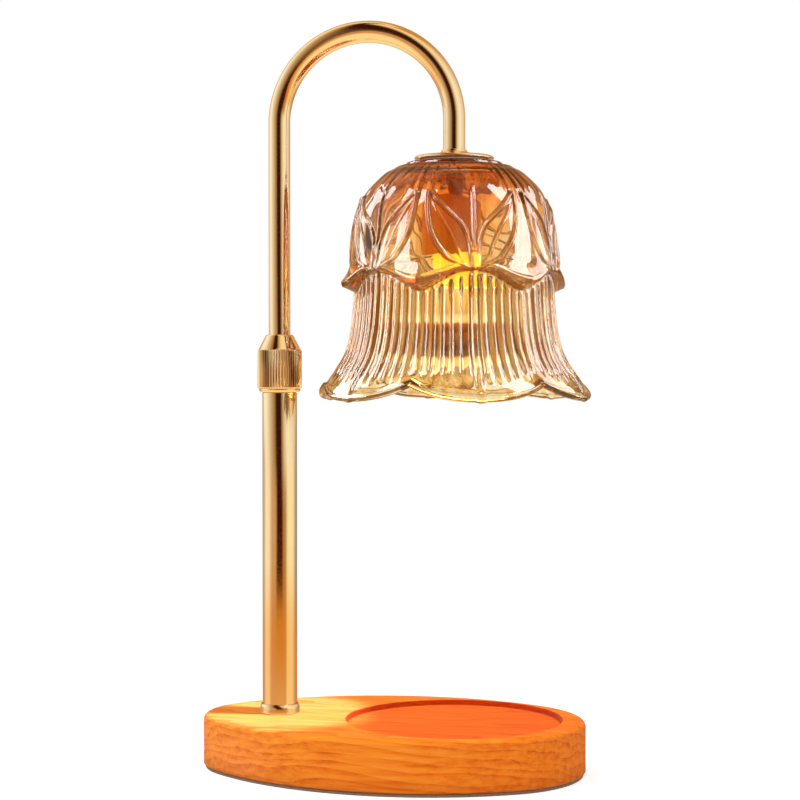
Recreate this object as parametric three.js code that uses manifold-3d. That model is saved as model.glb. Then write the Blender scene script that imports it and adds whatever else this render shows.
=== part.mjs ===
// Candle warmer lamp: a telescopic gooseneck on a wooden base holds a pressed-glass shade
// and a twist-lock reflector bulb over a round recess in the base.
// Millimetres, +Z up. The origin is on the underside, in the middle of the base's plan.
// +X runs from the pole to the shade, and the front of the lamp faces -Y.
import * as THREE from "three";
import { mergeVertices, toCreasedNormals } from "three/addons/utils/BufferGeometryUtils.js";
import Module from "manifold-3d";

const wasm = await Module();
wasm.setup();

// Fits
const seatGap = 0.3; // between pieces that rest against each other
const runningGap = 0.3; // round everything that turns, slides or plugs in
const cutOverrun = 1; // how far a cutting solid runs past the face it opens

// Base
const noseRadius = 38; // end of the plan that carries the pole
const tailRadius = 52.5; // end of the plan under the shade
const endSpacing = 100.5; // between the centres of the two ends
const sideRadius = 130; // long sides, tangent to both ends
const woodHeight = 24.7;
const topRounding = 3;
const recessRadius = 53;
const recessDepth = 2.6;
const poleSocketDepth = 8; // how deep the pole stands in the wood
const cavityRadius = 15;
const cavityHeight = 10;
const padHeight = 1.5;
const padInset = 1;
const coverRadius = 21.5;
const coverThickness = 1.6;
const coverScrewRadius = 1.3;
const coverScrewLength = 8;
const coverScrewHeadRadius = 2.6;
const coverScrewHeadHeight = 1.2;
const coverScrewCount = 3;
const leadRadius = 2.6; // room for the mains lead, which is not part of the lamp here
const grommetFlangeRadius = 4.6;
const grommetFlangeThickness = 1.4;
const grommetWall = 1.1;
const grommetLength = 9;
const leadAngle = 145; // azimuth of the lead's way out, in degrees

// Pole
const poleRadius = 8.7;
const poleWall = 1.3;
const poleLength = 160; // from the wood up to the lock nut
const poleThreadDepth = 0.4;
const poleThreadLength = 15;
const footCollarWidth = 0.9;
const footCollarHeight = 4.5;
const anchorPlugHeight = 14;
const anchorStudRadius = 4.9;
const anchorStudBore = 3;
const anchorStudLength = 6.5; // below the ceiling of the cavity
const poleWasherRadius = 10.5;
const poleWasherThickness = 1.4;
const poleNutRadius = 8; // over the corners
const poleNutHeight = 4;

// Lock nut and collet
const nutRadius = 11.1;
const nutKnurlHeight = 21.8;
const nutKnurlDepth = 0.45;
const nutKnurlCount = 40;
const nutEdgeBevel = 1.1;
const nutConeHeight = 6.8;
const nutConeFootRadius = 10.2;
const nutConeTopRadius = 6.5;
const nutConeWall = 1.3;
const colletWall = 1.5;
const colletSkirtLength = 7;
const colletLipHeight = 1.2;
const colletSlotWidth = 1.2;
const colletSlotCount = 4;

// Gooseneck
const armReach = 88.4; // from the pole's axis to the shade's axis
const armTubeRadius = 5.4;
const armTubeWall = 1;
const armRise = 105; // straight tube between the lock nut and the bend
const armDrop = 16; // straight tube after the bend
const armInsertion = 77; // tube inside the pole, below the lock nut
const guideLength = 12;
const guideSeatLength = 2; // end of the tube left below the guide
const clipWidth = 1;
const clipThickness = 1;

// Shade fittings, from the end of the gooseneck down
const flangeRadius = 8.8;
const flangeThickness = 1.4;
const spigotLength = 6.5;
const capRadius = 19.5;
const capThickness = 1.6;
const capEdgeBevel = 0.5;
const gasketRadius = 17;
const gasketThickness = 1;
const washerRadius = 15;
const washerThickness = 1.5;
const shadeNutRadius = 7.5; // over the corners
const shadeNutHeight = 4;
const nippleRadius = 2.5;
const nippleBore = 1.4;
const nippleEndLength = 1; // past the nut inside the holder

// Glass shade
const glassWall = 3;
const crownRadius = 24; // flat top of the glass
const crownThickness = 4;
const waistRadius = 48.3; // narrowest part, under the petals
const petalDepth = 54.2; // from the top of the glass to the foot of a stem
const petalTipDrop = 6.2; // how much lower a petal's tip hangs
const petalEdgeRadius = 50.8; // edge of the petals at a stem
const petalTipRadius = 55.6;
const petalLip = 1.3;
const petalUndercut = 3.6; // from a petal's tip down to the skirt
const stemUndercut = 0.6; // the same at a stem
const petalBulge = 2; // swell in the middle of a petal
const stemGroove = 0.8; // how deep the dome is drawn in along a stem
const leafHeight = 1.1;
const stemHeight = 0.7;
const fluteDepth = 0.7;
const rimRadius = 67;
const shadeHeight = 116.7; // from the top of the glass to the lowest point of the rim
const rimRise = 8.6; // from the lowest point of the rim to a cusp
const rimBead = 0.8;
const petalCount = 6;
const flutesPerPetal = 8;
const stemAngle = -9.2; // azimuth of the first stem, in degrees

// Bulb holder
const holderDrop = 16.4; // from the top of the glass to the top of the cup
const holderRadius = 15.5;
const holderHeight = 32;
const holderWall = 0.9;
const holderEdgeBevel = 1.5;
const holderNutRadius = 5.6; // over the corners
const holderNutHeight = 3;
const ceramicInset = 3.3; // ceramic block inside the mouth of the cup
const ceramicHeight = 21.5;
const slotMouthThickness = 2.2;
const slotChamberHeight = 7.6;
const slotClearance = 0.45; // round a pin in its slot
const holderScrewRadius = 1.4;
const holderScrewHeadRadius = 2.5;
const holderScrewHeadHeight = 1.8;
const holderScrewCircle = 10.6; // distance of the screws from the axis
const contactThickness = 1.4;
const contactClearance = 0.4;

// Reflector bulb
const bulbRadius = 25;
const bulbHeight = 54.5;
const bulbRimHeight = 4.5;
const bulbGlass = 1.2;
const bulbNeckRadius = 11;
const bulbNeckHeight = 16;
const bulbNeckTaper = 0.8;
const lensThickness = 1.6;
const lensInset = 0.9;
const capsuleRadius = 4.5;
const capsuleLength = 22;
const pinSpacing = 10;
const pinRadius = 1.5;
const pinShankLength = 3.2;
const pinHeadRadius = 2.4;
const pinHeadHeight = 3.4;
const twistAngle = 20; // turn that frees the pins, in degrees

// Facets
const broadSides = 40;
const roundSides = 24;
const smallSides = 12;
const arcSteps = 8;
const slotSteps = 2;
const bendSteps = 14;
const roundingSteps = 2;
const hexSides = 6;
const creaseAngle = 0.6;
const mergeDistance = 1e-4;
const degree = Math.PI / 180;

// Levels that several pieces share, from the underside up
const woodBottom = padHeight + seatGap;
const baseTop = woodBottom + woodHeight;
const cavityTop = woodBottom + cavityHeight;
const poleFoot = baseTop - poleSocketDepth;
const nutBottom = baseTop + poleLength + seatGap;
const nutConeFoot = nutBottom + nutKnurlHeight;
const nutTop = nutConeFoot + nutConeHeight;
const threadTop = nutBottom + poleThreadLength;
const bendFoot = nutTop + armRise;
const armTubeEnd = bendFoot - armDrop;
const armTubeFoot = nutBottom - armInsertion;

// Places in plan
const baseLength = noseRadius + endSpacing + tailRadius;
const poleX = noseRadius - baseLength / 2;
const poleBore = poleRadius - poleWall;
const threadRadius = poleRadius - poleThreadDepth;

// Materials
const finish = (color, roughness, metalness) =>
  new THREE.MeshStandardMaterial({ color, roughness, metalness });
const goldPlate = finish(0xcf9c52, 0.2, 1);
const brass = finish(0xb98b45, 0.35, 1);
const steel = finish(0xb9bcc0, 0.35, 1);
const oakWood = finish(0xe58a38, 0.55, 0);
const darkRubber = finish(0x45423f, 0.9, 0);
const clearSilicone = finish(0xd8d2c8, 0.7, 0);
const whiteNylon = finish(0xe6e2d8, 0.5, 0);
const ceramic = finish(0xece6da, 0.6, 0);
const amberGlass = finish(0xdf8a4a, 0.08, 0);
const bulbGlassFinish = finish(0xf4e2b0, 0.15, 0);

// A closed geometry as a solid that can be joined and cut
function solid(geometry) {
  const bare = geometry.clone();
  bare.deleteAttribute("normal");
  bare.deleteAttribute("uv");
  const merged = mergeVertices(bare, mergeDistance);
  const corners = merged.index.array;
  const faces = [];
  for (let i = 0; i < corners.length; i += 3) {
    const [a, b, c] = corners.slice(i, i + 3);
    if (a !== b && b !== c && c !== a) faces.push(a, b, c);
  }
  const vertProperties = merged.attributes.position.array;
  const triVerts = new Uint32Array(faces);
  return new wasm.Manifold(new wasm.Mesh({ numProp: 3, vertProperties, triVerts }));
}

// A named mesh made from a solid
function piece(name, form, material) {
  const data = form.getMesh();
  const geometry = new THREE.BufferGeometry();
  geometry.setAttribute("position", new THREE.BufferAttribute(data.vertProperties, 3));
  geometry.setIndex(new THREE.BufferAttribute(data.triVerts, 1));
  const mesh = new THREE.Mesh(toCreasedNormals(geometry, creaseAngle), material);
  mesh.name = name;
  return mesh;
}

// A solid of revolution about Z, from an outline of [radius, height] points, anticlockwise
function turned(outline, sides) {
  const points = [...outline, outline[0]].map(([r, z]) => new THREE.Vector2(r, z));
  return solid(new THREE.LatheGeometry(points, sides).rotateX(Math.PI / 2));
}

const rod = (radius, bottom, top, sides = roundSides) =>
  turned([[0, bottom], [radius, bottom], [radius, top], [0, top]], sides);

const ring = (outer, inner, bottom, top, sides = roundSides) =>
  turned([[inner, bottom], [outer, bottom], [outer, top], [inner, top]], sides);

// A plate of the given outline between two heights
function plate(shape, bottom, top, curveSegments = arcSteps) {
  const form = new THREE.ExtrudeGeometry(shape, {
    depth: top - bottom,
    bevelEnabled: false,
    curveSegments,
  });
  return solid(form.translate(0, 0, bottom));
}

function regularShape(corners, radius) {
  const shape = new THREE.Shape();
  for (let i = 0; i < corners; i++) {
    const angle = (i / corners) * 2 * Math.PI;
    shape[i ? "lineTo" : "moveTo"](radius * Math.cos(angle), radius * Math.sin(angle));
  }
  return shape;
}

const hexNut = (radius, bore, bottom, top) =>
  plate(regularShape(hexSides, radius), bottom, top).subtract(
    rod(bore, bottom - cutOverrun, top + cutOverrun, smallSides),
  );

function group(x, z, ...children) {
  const made = new THREE.Group();
  made.position.set(x, 0, z);
  made.add(...children);
  return made;
}

// Base: the plan is two round ends joined by long arcs that are tangent to both
function basePlan(inset) {
  const nose = noseRadius - inset;
  const tail = tailRadius - inset;
  const side = sideRadius - inset;
  const toNose = sideRadius - noseRadius;
  const toTail = sideRadius - tailRadius;
  const sideX = (toNose ** 2 - toTail ** 2 + endSpacing ** 2) / (2 * endSpacing);
  const sideY = Math.sqrt(toNose ** 2 - sideX ** 2);
  const noseAngle = Math.atan2(sideY, -sideX);
  const tailAngle = Math.atan2(sideY, endSpacing - sideX);
  const tailX = poleX + endSpacing;
  const shape = new THREE.Shape();
  shape.absarc(tailX, 0, tail, -tailAngle, tailAngle);
  shape.absarc(poleX + sideX, -sideY, side, tailAngle, noseAngle);
  shape.absarc(poleX, 0, nose, noseAngle, 2 * Math.PI - noseAngle);
  shape.absarc(poleX + sideX, sideY, side, -noseAngle, -tailAngle);
  return shape;
}

const coverScrewCircle = (cavityRadius + coverRadius) / 2;
const coverScrewAngles = Array.from(
  { length: coverScrewCount },
  (_, i) => leadAngle * degree + ((i + 1 / 2) / coverScrewCount) * 2 * Math.PI,
);
const leadHeight = woodBottom + cavityHeight / 2;
const grommetSeat = noseRadius - grommetLength + grommetFlangeThickness;

// A form along Z laid flat, out of the back of the round end behind the pole
const throughBack = (form) =>
  form.rotate([0, 90, leadAngle]).translate([poleX, 0, leadHeight]);

function woodBase() {
  const block = new THREE.ExtrudeGeometry(basePlan(topRounding), {
    depth: woodHeight - topRounding,
    bevelThickness: topRounding,
    bevelSize: topRounding,
    bevelSegments: roundingSteps,
    curveSegments: arcSteps,
  }).translate(0, 0, woodBottom);
  const below = plate(basePlan(-cutOverrun), woodBottom - topRounding - cutOverrun, woodBottom);
  const recessFloor = baseTop - recessDepth;
  const recess = rod(recessRadius, recessFloor, baseTop + cutOverrun, broadSides);
  const coverSeat = woodBottom + coverThickness + seatGap;
  const underside = woodBottom - cutOverrun;
  const cuts = [
    rod(poleRadius + runningGap, poleFoot - seatGap, baseTop + cutOverrun),
    rod(anchorStudRadius + runningGap, underside, poleFoot),
    rod(cavityRadius, underside, cavityTop),
    rod(coverRadius + runningGap, underside, coverSeat),
    ...coverScrewAngles.map((angle) =>
      rod(coverScrewRadius + runningGap, underside, woodBottom + coverScrewLength + seatGap, smallSides)
        .translate([coverScrewCircle * Math.cos(angle), coverScrewCircle * Math.sin(angle), 0]),
    ),
  ].map((cut) => cut.translate([poleX, 0, 0]));
  const leadHole = rod(leadRadius + grommetWall + runningGap, 0, noseRadius + cutOverrun, smallSides);
  return [recess.translate([poleX + armReach, 0, 0]), ...cuts, throughBack(leadHole)].reduce(
    (wood, cut) => wood.subtract(cut),
    solid(block).subtract(below),
  );
}

const basePad = () =>
  plate(basePlan(padInset), 0, padHeight).subtract(
    rod(coverRadius + padInset, -cutOverrun, woodBottom).translate([poleX, 0, 0]),
  );

function bottomCover() {
  const top = woodBottom + coverThickness;
  return coverScrewAngles.reduce(
    (cover, angle) =>
      cover.subtract(
        turned(
          [
            [0, woodBottom - cutOverrun],
            [coverScrewHeadRadius + runningGap, woodBottom - cutOverrun],
            [coverScrewHeadRadius + runningGap, woodBottom],
            [coverScrewRadius + runningGap, woodBottom + coverScrewHeadHeight + seatGap],
            [coverScrewRadius + runningGap, top + cutOverrun],
            [0, top + cutOverrun],
          ],
          smallSides,
        ).translate([coverScrewCircle * Math.cos(angle), coverScrewCircle * Math.sin(angle), 0]),
      ),
    rod(coverRadius, woodBottom, top),
  );
}

const coverScrew = () =>
  turned(
    [
      [0, woodBottom],
      [coverScrewHeadRadius, woodBottom],
      [coverScrewRadius, woodBottom + coverScrewHeadHeight],
      [coverScrewRadius, woodBottom + coverScrewLength],
      [0, woodBottom + coverScrewLength],
    ],
    smallSides,
  );

// Rubber sleeve in the wall of the wood, with its flange against the outside
const cordGrommet = () =>
  throughBack(
    turned(
      [
        [leadRadius, grommetSeat],
        [leadRadius + grommetWall, grommetSeat],
        [leadRadius + grommetWall, noseRadius + seatGap],
        [grommetFlangeRadius, noseRadius + seatGap],
        [grommetFlangeRadius, noseRadius + seatGap + grommetFlangeThickness],
        [leadRadius, noseRadius + seatGap + grommetFlangeThickness],
      ],
      smallSides,
    ),
  );

const poleTube = () =>
  turned(
    [
      [poleBore, poleFoot],
      [poleRadius, poleFoot],
      [poleRadius, nutBottom - seatGap],
      [threadRadius, nutBottom - seatGap],
      [threadRadius, threadTop],
      [poleBore, threadTop],
    ],
    roundSides,
  );

function footCollar() {
  const inner = poleRadius + runningGap;
  const outer = inner + footCollarWidth;
  const bottom = baseTop + seatGap;
  const top = bottom + footCollarHeight;
  return turned(
    [
      [inner, bottom],
      [outer, bottom],
      [outer, top - footCollarWidth],
      [inner + footCollarWidth / 2, top],
      [inner, top],
    ],
    roundSides,
  );
}

// Threaded plug that draws the pole down on the wood
const poleAnchor = () =>
  turned(
    [
      [anchorStudBore, cavityTop - anchorStudLength],
      [anchorStudRadius, cavityTop - anchorStudLength],
      [anchorStudRadius, poleFoot],
      [poleBore - seatGap, poleFoot],
      [poleBore - seatGap, poleFoot + anchorPlugHeight],
      [anchorStudBore, poleFoot + anchorPlugHeight],
    ],
    roundSides,
  );

const poleWasherTop = cavityTop - seatGap;
const poleNutTop = poleWasherTop - poleWasherThickness - seatGap;
const studHole = anchorStudRadius + runningGap;
const poleWasher = () =>
  ring(poleWasherRadius, studHole, poleWasherTop - poleWasherThickness, poleWasherTop);
const poleNut = () => hexNut(poleNutRadius, studHole, poleNutTop - poleNutHeight, poleNutTop);

// Lock nut: a straight-knurled body with a cone, running on the pole's thread
function lockNut() {
  const knurl = new THREE.Shape();
  for (let i = 0; i < 2 * nutKnurlCount; i++) {
    const angle = (i / nutKnurlCount) * Math.PI;
    const radius = i % 2 ? nutRadius - nutKnurlDepth : nutRadius;
    knurl[i ? "lineTo" : "moveTo"](radius * Math.cos(angle), radius * Math.sin(angle));
  }
  const body = plate(knurl, 0, nutTop - nutBottom);
  const coneFoot = nutKnurlHeight;
  const top = nutTop - nutBottom;
  const envelope = turned(
    [
      [0, 0],
      [nutRadius - nutEdgeBevel, 0],
      [nutRadius, nutEdgeBevel],
      [nutRadius, coneFoot - nutEdgeBevel / 2],
      [nutConeFootRadius, coneFoot],
      [nutConeTopRadius, top],
      [0, top],
    ],
    broadSides,
  );
  const seat = threadTop - nutBottom + seatGap;
  const bore = turned(
    [
      [0, -cutOverrun],
      [threadRadius + runningGap, -cutOverrun],
      [threadRadius + runningGap, seat],
      [nutConeFootRadius - nutConeWall, coneFoot],
      [armTubeRadius + runningGap, top - nutConeWall],
      [armTubeRadius + runningGap, top + cutOverrun],
      [0, top + cutOverrun],
    ],
    roundSides,
  );
  return body.intersect(envelope).subtract(bore);
}

// Slotted collet: its skirt stands in the pole and its cone in the lock nut
function collet() {
  const inner = armTubeRadius + runningGap;
  const skirt = poleBore - runningGap;
  const lip = threadTop - nutBottom + seatGap;
  const coneFoot = nutKnurlHeight;
  const coneTop = nutKnurlHeight + nutConeHeight - nutConeWall - seatGap;
  const sleeve = turned(
    [
      [inner, lip - colletSkirtLength],
      [skirt, lip - colletSkirtLength],
      [skirt, lip],
      [threadRadius - seatGap, lip],
      [threadRadius - seatGap, lip + colletLipHeight],
      [inner + colletWall, coneFoot],
      [inner + colletWall / 2, coneTop - colletLipHeight],
      [inner, coneTop - colletLipHeight],
    ],
    roundSides,
  );
  const slotFoot = lip - colletSkirtLength / 2;
  const slotHeight = coneTop - slotFoot + cutOverrun;
  const slots = Array.from({ length: colletSlotCount / 2 }, (_, i) =>
    solid(
      new THREE.BoxGeometry(2 * poleRadius, colletSlotWidth, slotHeight)
        .translate(0, 0, slotFoot + slotHeight / 2)
        .rotateZ((i / colletSlotCount) * 2 * Math.PI),
    ),
  );
  return slots.reduce((made, slot) => made.subtract(slot), sleeve);
}

// Centre line of the gooseneck, with one step for each straight run and the rest in the bend
class GooseneckLine extends THREE.Curve {
  constructor() {
    super();
    this.steps = bendSteps + 2;
  }

  getUtoTmapping(u) {
    return u;
  }

  bendAngle(t) {
    return (Math.min(Math.max(t * this.steps - 1, 0), bendSteps) / bendSteps) * Math.PI;
  }

  getPoint(t, target = new THREE.Vector3()) {
    const station = t * this.steps;
    const below = Math.max(1 - station, 0) * (bendFoot - armTubeFoot);
    const beyond = Math.max(station - 1 - bendSteps, 0) * armDrop;
    const angle = this.bendAngle(t);
    const radius = armReach / 2;
    const height = bendFoot + radius * Math.sin(angle) - below - beyond;
    return target.set(radius - radius * Math.cos(angle), 0, height);
  }

  getTangent(t, target = new THREE.Vector3()) {
    const angle = this.bendAngle(t);
    return target.set(Math.sin(angle), 0, Math.cos(angle));
  }
}

function gooseneck() {
  const line = new GooseneckLine();
  const section = new THREE.Shape().absarc(0, 0, armTubeRadius, 0, 2 * Math.PI);
  section.holes.push(new THREE.Path().absarc(0, 0, armTubeRadius - armTubeWall, 0, 2 * Math.PI));
  return solid(
    new THREE.ExtrudeGeometry(section, {
      steps: line.steps,
      extrudePath: line,
      curveSegments: arcSteps,
    }),
  );
}

const guideFoot = armTubeFoot + guideSeatLength;
const guideBush = () =>
  ring(poleBore - runningGap, armTubeRadius + runningGap, guideFoot, guideFoot + guideLength);

// Snap ring that keeps the guide on the tube, open at one side
function retainingClip(bottom) {
  const outer = armTubeRadius + runningGap + clipWidth;
  const opening = new THREE.BoxGeometry(armTubeRadius, armTubeRadius, clipThickness + 2 * cutOverrun)
    .translate(outer, 0, bottom + clipThickness / 2);
  return ring(outer, armTubeRadius + seatGap, bottom, bottom + clipThickness).subtract(solid(opening));
}

// Shade fittings: levels below the end of the gooseneck
const flangeTop = -seatGap;
const flangeBottom = flangeTop - flangeThickness;
const capTop = flangeBottom - seatGap;
const capBottom = capTop - capThickness;
const upperGasketTop = capBottom - seatGap;
const glassTop = upperGasketTop - gasketThickness - seatGap;
const lowerGasketTop = glassTop - crownThickness - seatGap;
const washerTop = lowerGasketTop - gasketThickness - seatGap;
const shadeNutTop = washerTop - washerThickness - seatGap;
const holderTop = glassTop - holderDrop;
const holderNutTop = holderTop - holderWall - seatGap;
const nippleHole = nippleRadius + runningGap;

function neckFlange() {
  const spigot = armTubeRadius - armTubeWall - seatGap;
  return turned(
    [
      [nippleHole, flangeBottom],
      [flangeRadius, flangeBottom],
      [flangeRadius, flangeTop - flangeThickness / 3],
      [flangeRadius - flangeThickness / 2, flangeTop],
      [spigot, flangeTop],
      [spigot, flangeTop + spigotLength],
      [nippleHole, flangeTop + spigotLength],
    ],
    roundSides,
  );
}

const shadeCap = () =>
  turned(
    [
      [nippleHole, capBottom],
      [capRadius, capBottom],
      [capRadius, capTop - capEdgeBevel],
      [capRadius - 2 * capEdgeBevel, capTop],
      [nippleHole, capTop],
    ],
    broadSides,
  );

const neckNipple = () =>
  ring(
    nippleRadius,
    nippleBore,
    holderNutTop - holderNutHeight - nippleEndLength,
    flangeTop + spigotLength,
    smallSides,
  );

// Glass shade. Its outline is turned, and each point is then moved by the relief, which
// depends on the height and on the bearing: 0 at a stem and 1 half way between two stems,
// where a petal's tip hangs and the rim has a cusp.
const domeRadiusShares = [0, 0.33, 0.6, 0.84, 0.95, 1, 1.05];
const domeDepthShares = [0, 0.075, 0.18, 0.33, 0.5, 0.67, 0.84];
const skirtRadiusShares = [0, 0.05, 0.14, 0.3, 0.56, 0.84, 1];
const skirtDepthShares = [0, 0.28, 0.49, 0.645, 0.77, 0.885, 1];
const leafTopShare = 0.28; // depth of the leaves' tips, as a share of the petals' depth
const leafClimbShares = [0, 0.13, 0.3, 0.5, 0.75, 1]; // from a leaf's foot up to its tip
const leafInnerShares = [0.05, 0.06, 0.08, 0.19, 0.52, 0.86]; // bearings of its edge by the stem
const leafOuterShares = [0.08, 0.41, 0.6, 0.76, 0.85, 0.88]; // and of the other edge
const fluteEndShares = [0.74, 0.86]; // the flutes fade out between these depths of the skirt
const petalFlareShare = 1.4; // power with which a petal's edge flares out towards its tip
const petalHangShares = [0.18, 1]; // and between these bearings it drops
const petalSwellShares = [0.08, 0.6]; // the swell and the groove grow between these depths
const rimCuspShares = [0.28, 1]; // the rim rises to a cusp between these bearings

// The radius at a depth, from tables of shares
function along(depths, radii, depth) {
  const last = depths.length - 1;
  const next = Math.min(Math.max(depths.findIndex((d) => d >= depth), 1), last) || last;
  const t = (depth - depths[next - 1]) / (depths[next] - depths[next - 1]);
  return radii[next - 1] + t * (radii[next] - radii[next - 1]);
}

const domeRadius = (share) =>
  crownRadius + along(domeDepthShares, domeRadiusShares, share) * (waistRadius - crownRadius);
const skirtTop = petalDepth + stemUndercut;
const skirtRadius = (depth) =>
  waistRadius +
  along(skirtDepthShares, skirtRadiusShares, (depth - skirtTop) / (shadeHeight - skirtTop)) *
    (rimRadius - waistRadius);
const petalEdge = (bearing) =>
  petalDepth + petalTipDrop * THREE.MathUtils.smoothstep(bearing, ...petalHangShares);
const petalFoot = (bearing) =>
  petalEdge(bearing) + stemUndercut + (petalUndercut - stemUndercut) * bearing;
const rimEdge = (bearing) =>
  shadeHeight - rimRise * THREE.MathUtils.smoothstep(bearing, ...rimCuspShares);

// Two leaves rise from the foot of each stem and meet the next pair above a petal
function leafRelief(bearing, share) {
  const climb = (1 - share) / (1 - leafTopShare);
  if (climb >= 1) return 0;
  const inner = along(leafClimbShares, leafInnerShares, climb);
  const outer = along(leafClimbShares, leafOuterShares, climb);
  const away = (2 * bearing - inner - outer) / (outer - inner);
  return leafHeight * Math.max(0, 1 - away ** 2);
}

const rise = ([from, to], share) => Math.min(Math.max((share - from) / (to - from), 0), 1);
const petalRelief = (bearing, share) =>
  (petalBulge * bearing - stemGroove) * rise(petalSwellShares, share);

// Rows of the outer and inner surface, each a function of the bearing and of a flute's
// height there, giving [radius, depth below the top of the glass]
function shadeRows() {
  const rows = [
    () => [nippleHole, 0],
    () => [crownRadius, 0],
  ];
  const domeShares = domeDepthShares.slice(1);
  for (const share of domeShares)
    rows.push((bearing) => [
      domeRadius(share) + leafRelief(bearing, share) + petalRelief(bearing, share),
      share * petalEdge(bearing),
    ]);
  const edgeRadius = (bearing) =>
    petalEdgeRadius + (petalTipRadius - petalEdgeRadius) * bearing ** petalFlareShare;
  rows.push((bearing) => [edgeRadius(bearing), petalEdge(bearing) - petalLip]);
  rows.push((bearing) => [edgeRadius(bearing) - petalLip / 2, petalEdge(bearing)]);
  rows.push((bearing) => [skirtRadius(petalFoot(bearing)), petalFoot(bearing)]);
  const skirtDepth = (bearing, share) =>
    petalFoot(bearing) + share * (rimEdge(bearing) - petalFoot(bearing));
  const skirtShares = skirtDepthShares.slice(1, -1);
  for (const share of skirtShares)
    rows.push((bearing, flute) => {
      const depth = skirtDepth(bearing, share);
      const stem = stemHeight * Math.max(0, 1 - bearing * flutesPerPetal);
      return [skirtRadius(depth) + flute * fluteDepth * (1 - rise(fluteEndShares, share)) + stem, depth];
    });
  rows.push((bearing) => [skirtRadius(rimEdge(bearing)) + rimBead, rimEdge(bearing) - glassWall]);
  rows.push((bearing) => [skirtRadius(rimEdge(bearing)) + rimBead, rimEdge(bearing) - rimBead]);
  rows.push((bearing) => [skirtRadius(rimEdge(bearing)) - glassWall / 2, rimEdge(bearing)]);
  rows.push((bearing) => [skirtRadius(rimEdge(bearing)) - glassWall, rimEdge(bearing) - rimBead]);
  for (const share of skirtShares.filter((_, i) => i % 2).reverse())
    rows.push((bearing) => {
      const depth = skirtDepth(bearing, share);
      return [skirtRadius(depth) - glassWall, depth];
    });
  for (const share of domeShares.filter((_, i) => i % 2).reverse())
    rows.push(() => {
      const depth = Math.max(share * petalDepth + glassWall / 2, crownThickness + glassWall / 2);
      return [Math.min(domeRadius(share), waistRadius) - glassWall, depth];
    });
  rows.push(() => [crownRadius - glassWall / 2, crownThickness]);
  rows.push(() => [nippleHole, crownThickness]);
  return rows.reverse();
}

function glassShade() {
  const rows = shadeRows();
  const columns = 2 * flutesPerPetal * petalCount;
  const blank = [...rows, rows[0]].map((_, i) => new THREE.Vector2(crownRadius, i));
  const form = new THREE.LatheGeometry(blank, columns);
  const position = form.attributes.position;
  for (let i = 0; i < position.count; i++) {
    const column = Math.floor(i / blank.length) % columns;
    const row = rows[(i % blank.length) % rows.length];
    const turn = (column / (2 * flutesPerPetal)) % 1;
    const bearing = 1 - Math.abs(1 - 2 * turn);
    const [radius, depth] = row(bearing, column % 2);
    const angle = stemAngle * degree + (column / columns) * 2 * Math.PI;
    position.setXYZ(i, radius * Math.cos(angle), radius * Math.sin(angle), -depth);
  }
  return solid(form);
}

// Bulb holder: a cup with a ceramic block that takes the two pins of the bulb
const ceramicBottom = holderTop - holderHeight + ceramicInset;
const ceramicTop = ceramicBottom + ceramicHeight;
const ceramicRadius = holderRadius - holderWall - seatGap;
const chamberFloor = ceramicBottom + slotMouthThickness;
const chamberTop = chamberFloor + slotChamberHeight;
const holderScrewTop = holderTop - holderWall - seatGap;

function holderCup() {
  const bottom = holderTop - holderHeight;
  return turned(
    [
      [holderRadius - holderWall, bottom],
      [holderRadius, bottom],
      [holderRadius, holderTop - holderEdgeBevel],
      [holderRadius - holderEdgeBevel, holderTop],
      [nippleHole, holderTop],
      [nippleHole, holderTop - holderWall],
      [holderRadius - holderEdgeBevel - holderWall / 2, holderTop - holderWall],
      [holderRadius - holderWall, holderTop - holderEdgeBevel - holderWall / 2],
    ],
    roundSides,
  );
}

const holderNut = () =>
  hexNut(holderNutRadius, nippleHole, holderNutTop - holderNutHeight, holderNutTop);

// A slot that a round pin sweeps as it turns about the axis
function sweptSlot(radius, bottom, top) {
  const circle = pinSpacing / 2;
  const end = -twistAngle * degree;
  const shape = new THREE.Shape();
  shape.absarc(0, 0, circle + radius, end, 0);
  shape.absarc(circle, 0, radius, 0, Math.PI);
  shape.absarc(0, 0, circle - radius, 0, end, true);
  shape.absarc(circle * Math.cos(end), circle * Math.sin(end), radius, end + Math.PI, end + 2 * Math.PI);
  return plate(shape, bottom, top, slotSteps);
}

function ceramicBlock() {
  const mouthBottom = ceramicBottom - cutOverrun;
  const headRadius = pinHeadRadius + slotClearance;
  const slot = sweptSlot(pinRadius + slotClearance, mouthBottom, chamberTop)
    .add(sweptSlot(headRadius, chamberFloor, chamberTop))
    .add(
      rod(headRadius, mouthBottom, chamberTop, smallSides)
        .translate([pinSpacing / 2, 0, 0])
        .rotate([0, 0, -twistAngle]),
    );
  const screwHole = rod(holderScrewRadius + seatGap, mouthBottom, ceramicTop + cutOverrun, smallSides)
    .add(rod(
      holderScrewHeadRadius + seatGap,
      mouthBottom,
      ceramicBottom + holderScrewHeadHeight + seatGap,
      smallSides,
    ))
    .translate([0, holderScrewCircle, 0]);
  const leadHole = rod(nippleRadius - seatGap, chamberTop, ceramicTop + cutOverrun, smallSides);
  return [slot, screwHole]
    .flatMap((cut) => [cut, cut.rotate([0, 0, 180])])
    .reduce((block, cut) => block.subtract(cut), rod(ceramicRadius, ceramicBottom, ceramicTop))
    .subtract(leadHole);
}

const holderScrew = () =>
  rod(holderScrewHeadRadius, ceramicBottom, ceramicBottom + holderScrewHeadHeight, smallSides).add(
    rod(holderScrewRadius, ceramicBottom, holderScrewTop, smallSides),
  );

// Spring contact over the head of a pin
const contactRadius = pinHeadRadius + slotClearance - contactClearance;
const contactStrip = () =>
  rod(contactRadius, chamberTop - contactThickness - seatGap, chamberTop - seatGap, smallSides);

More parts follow.
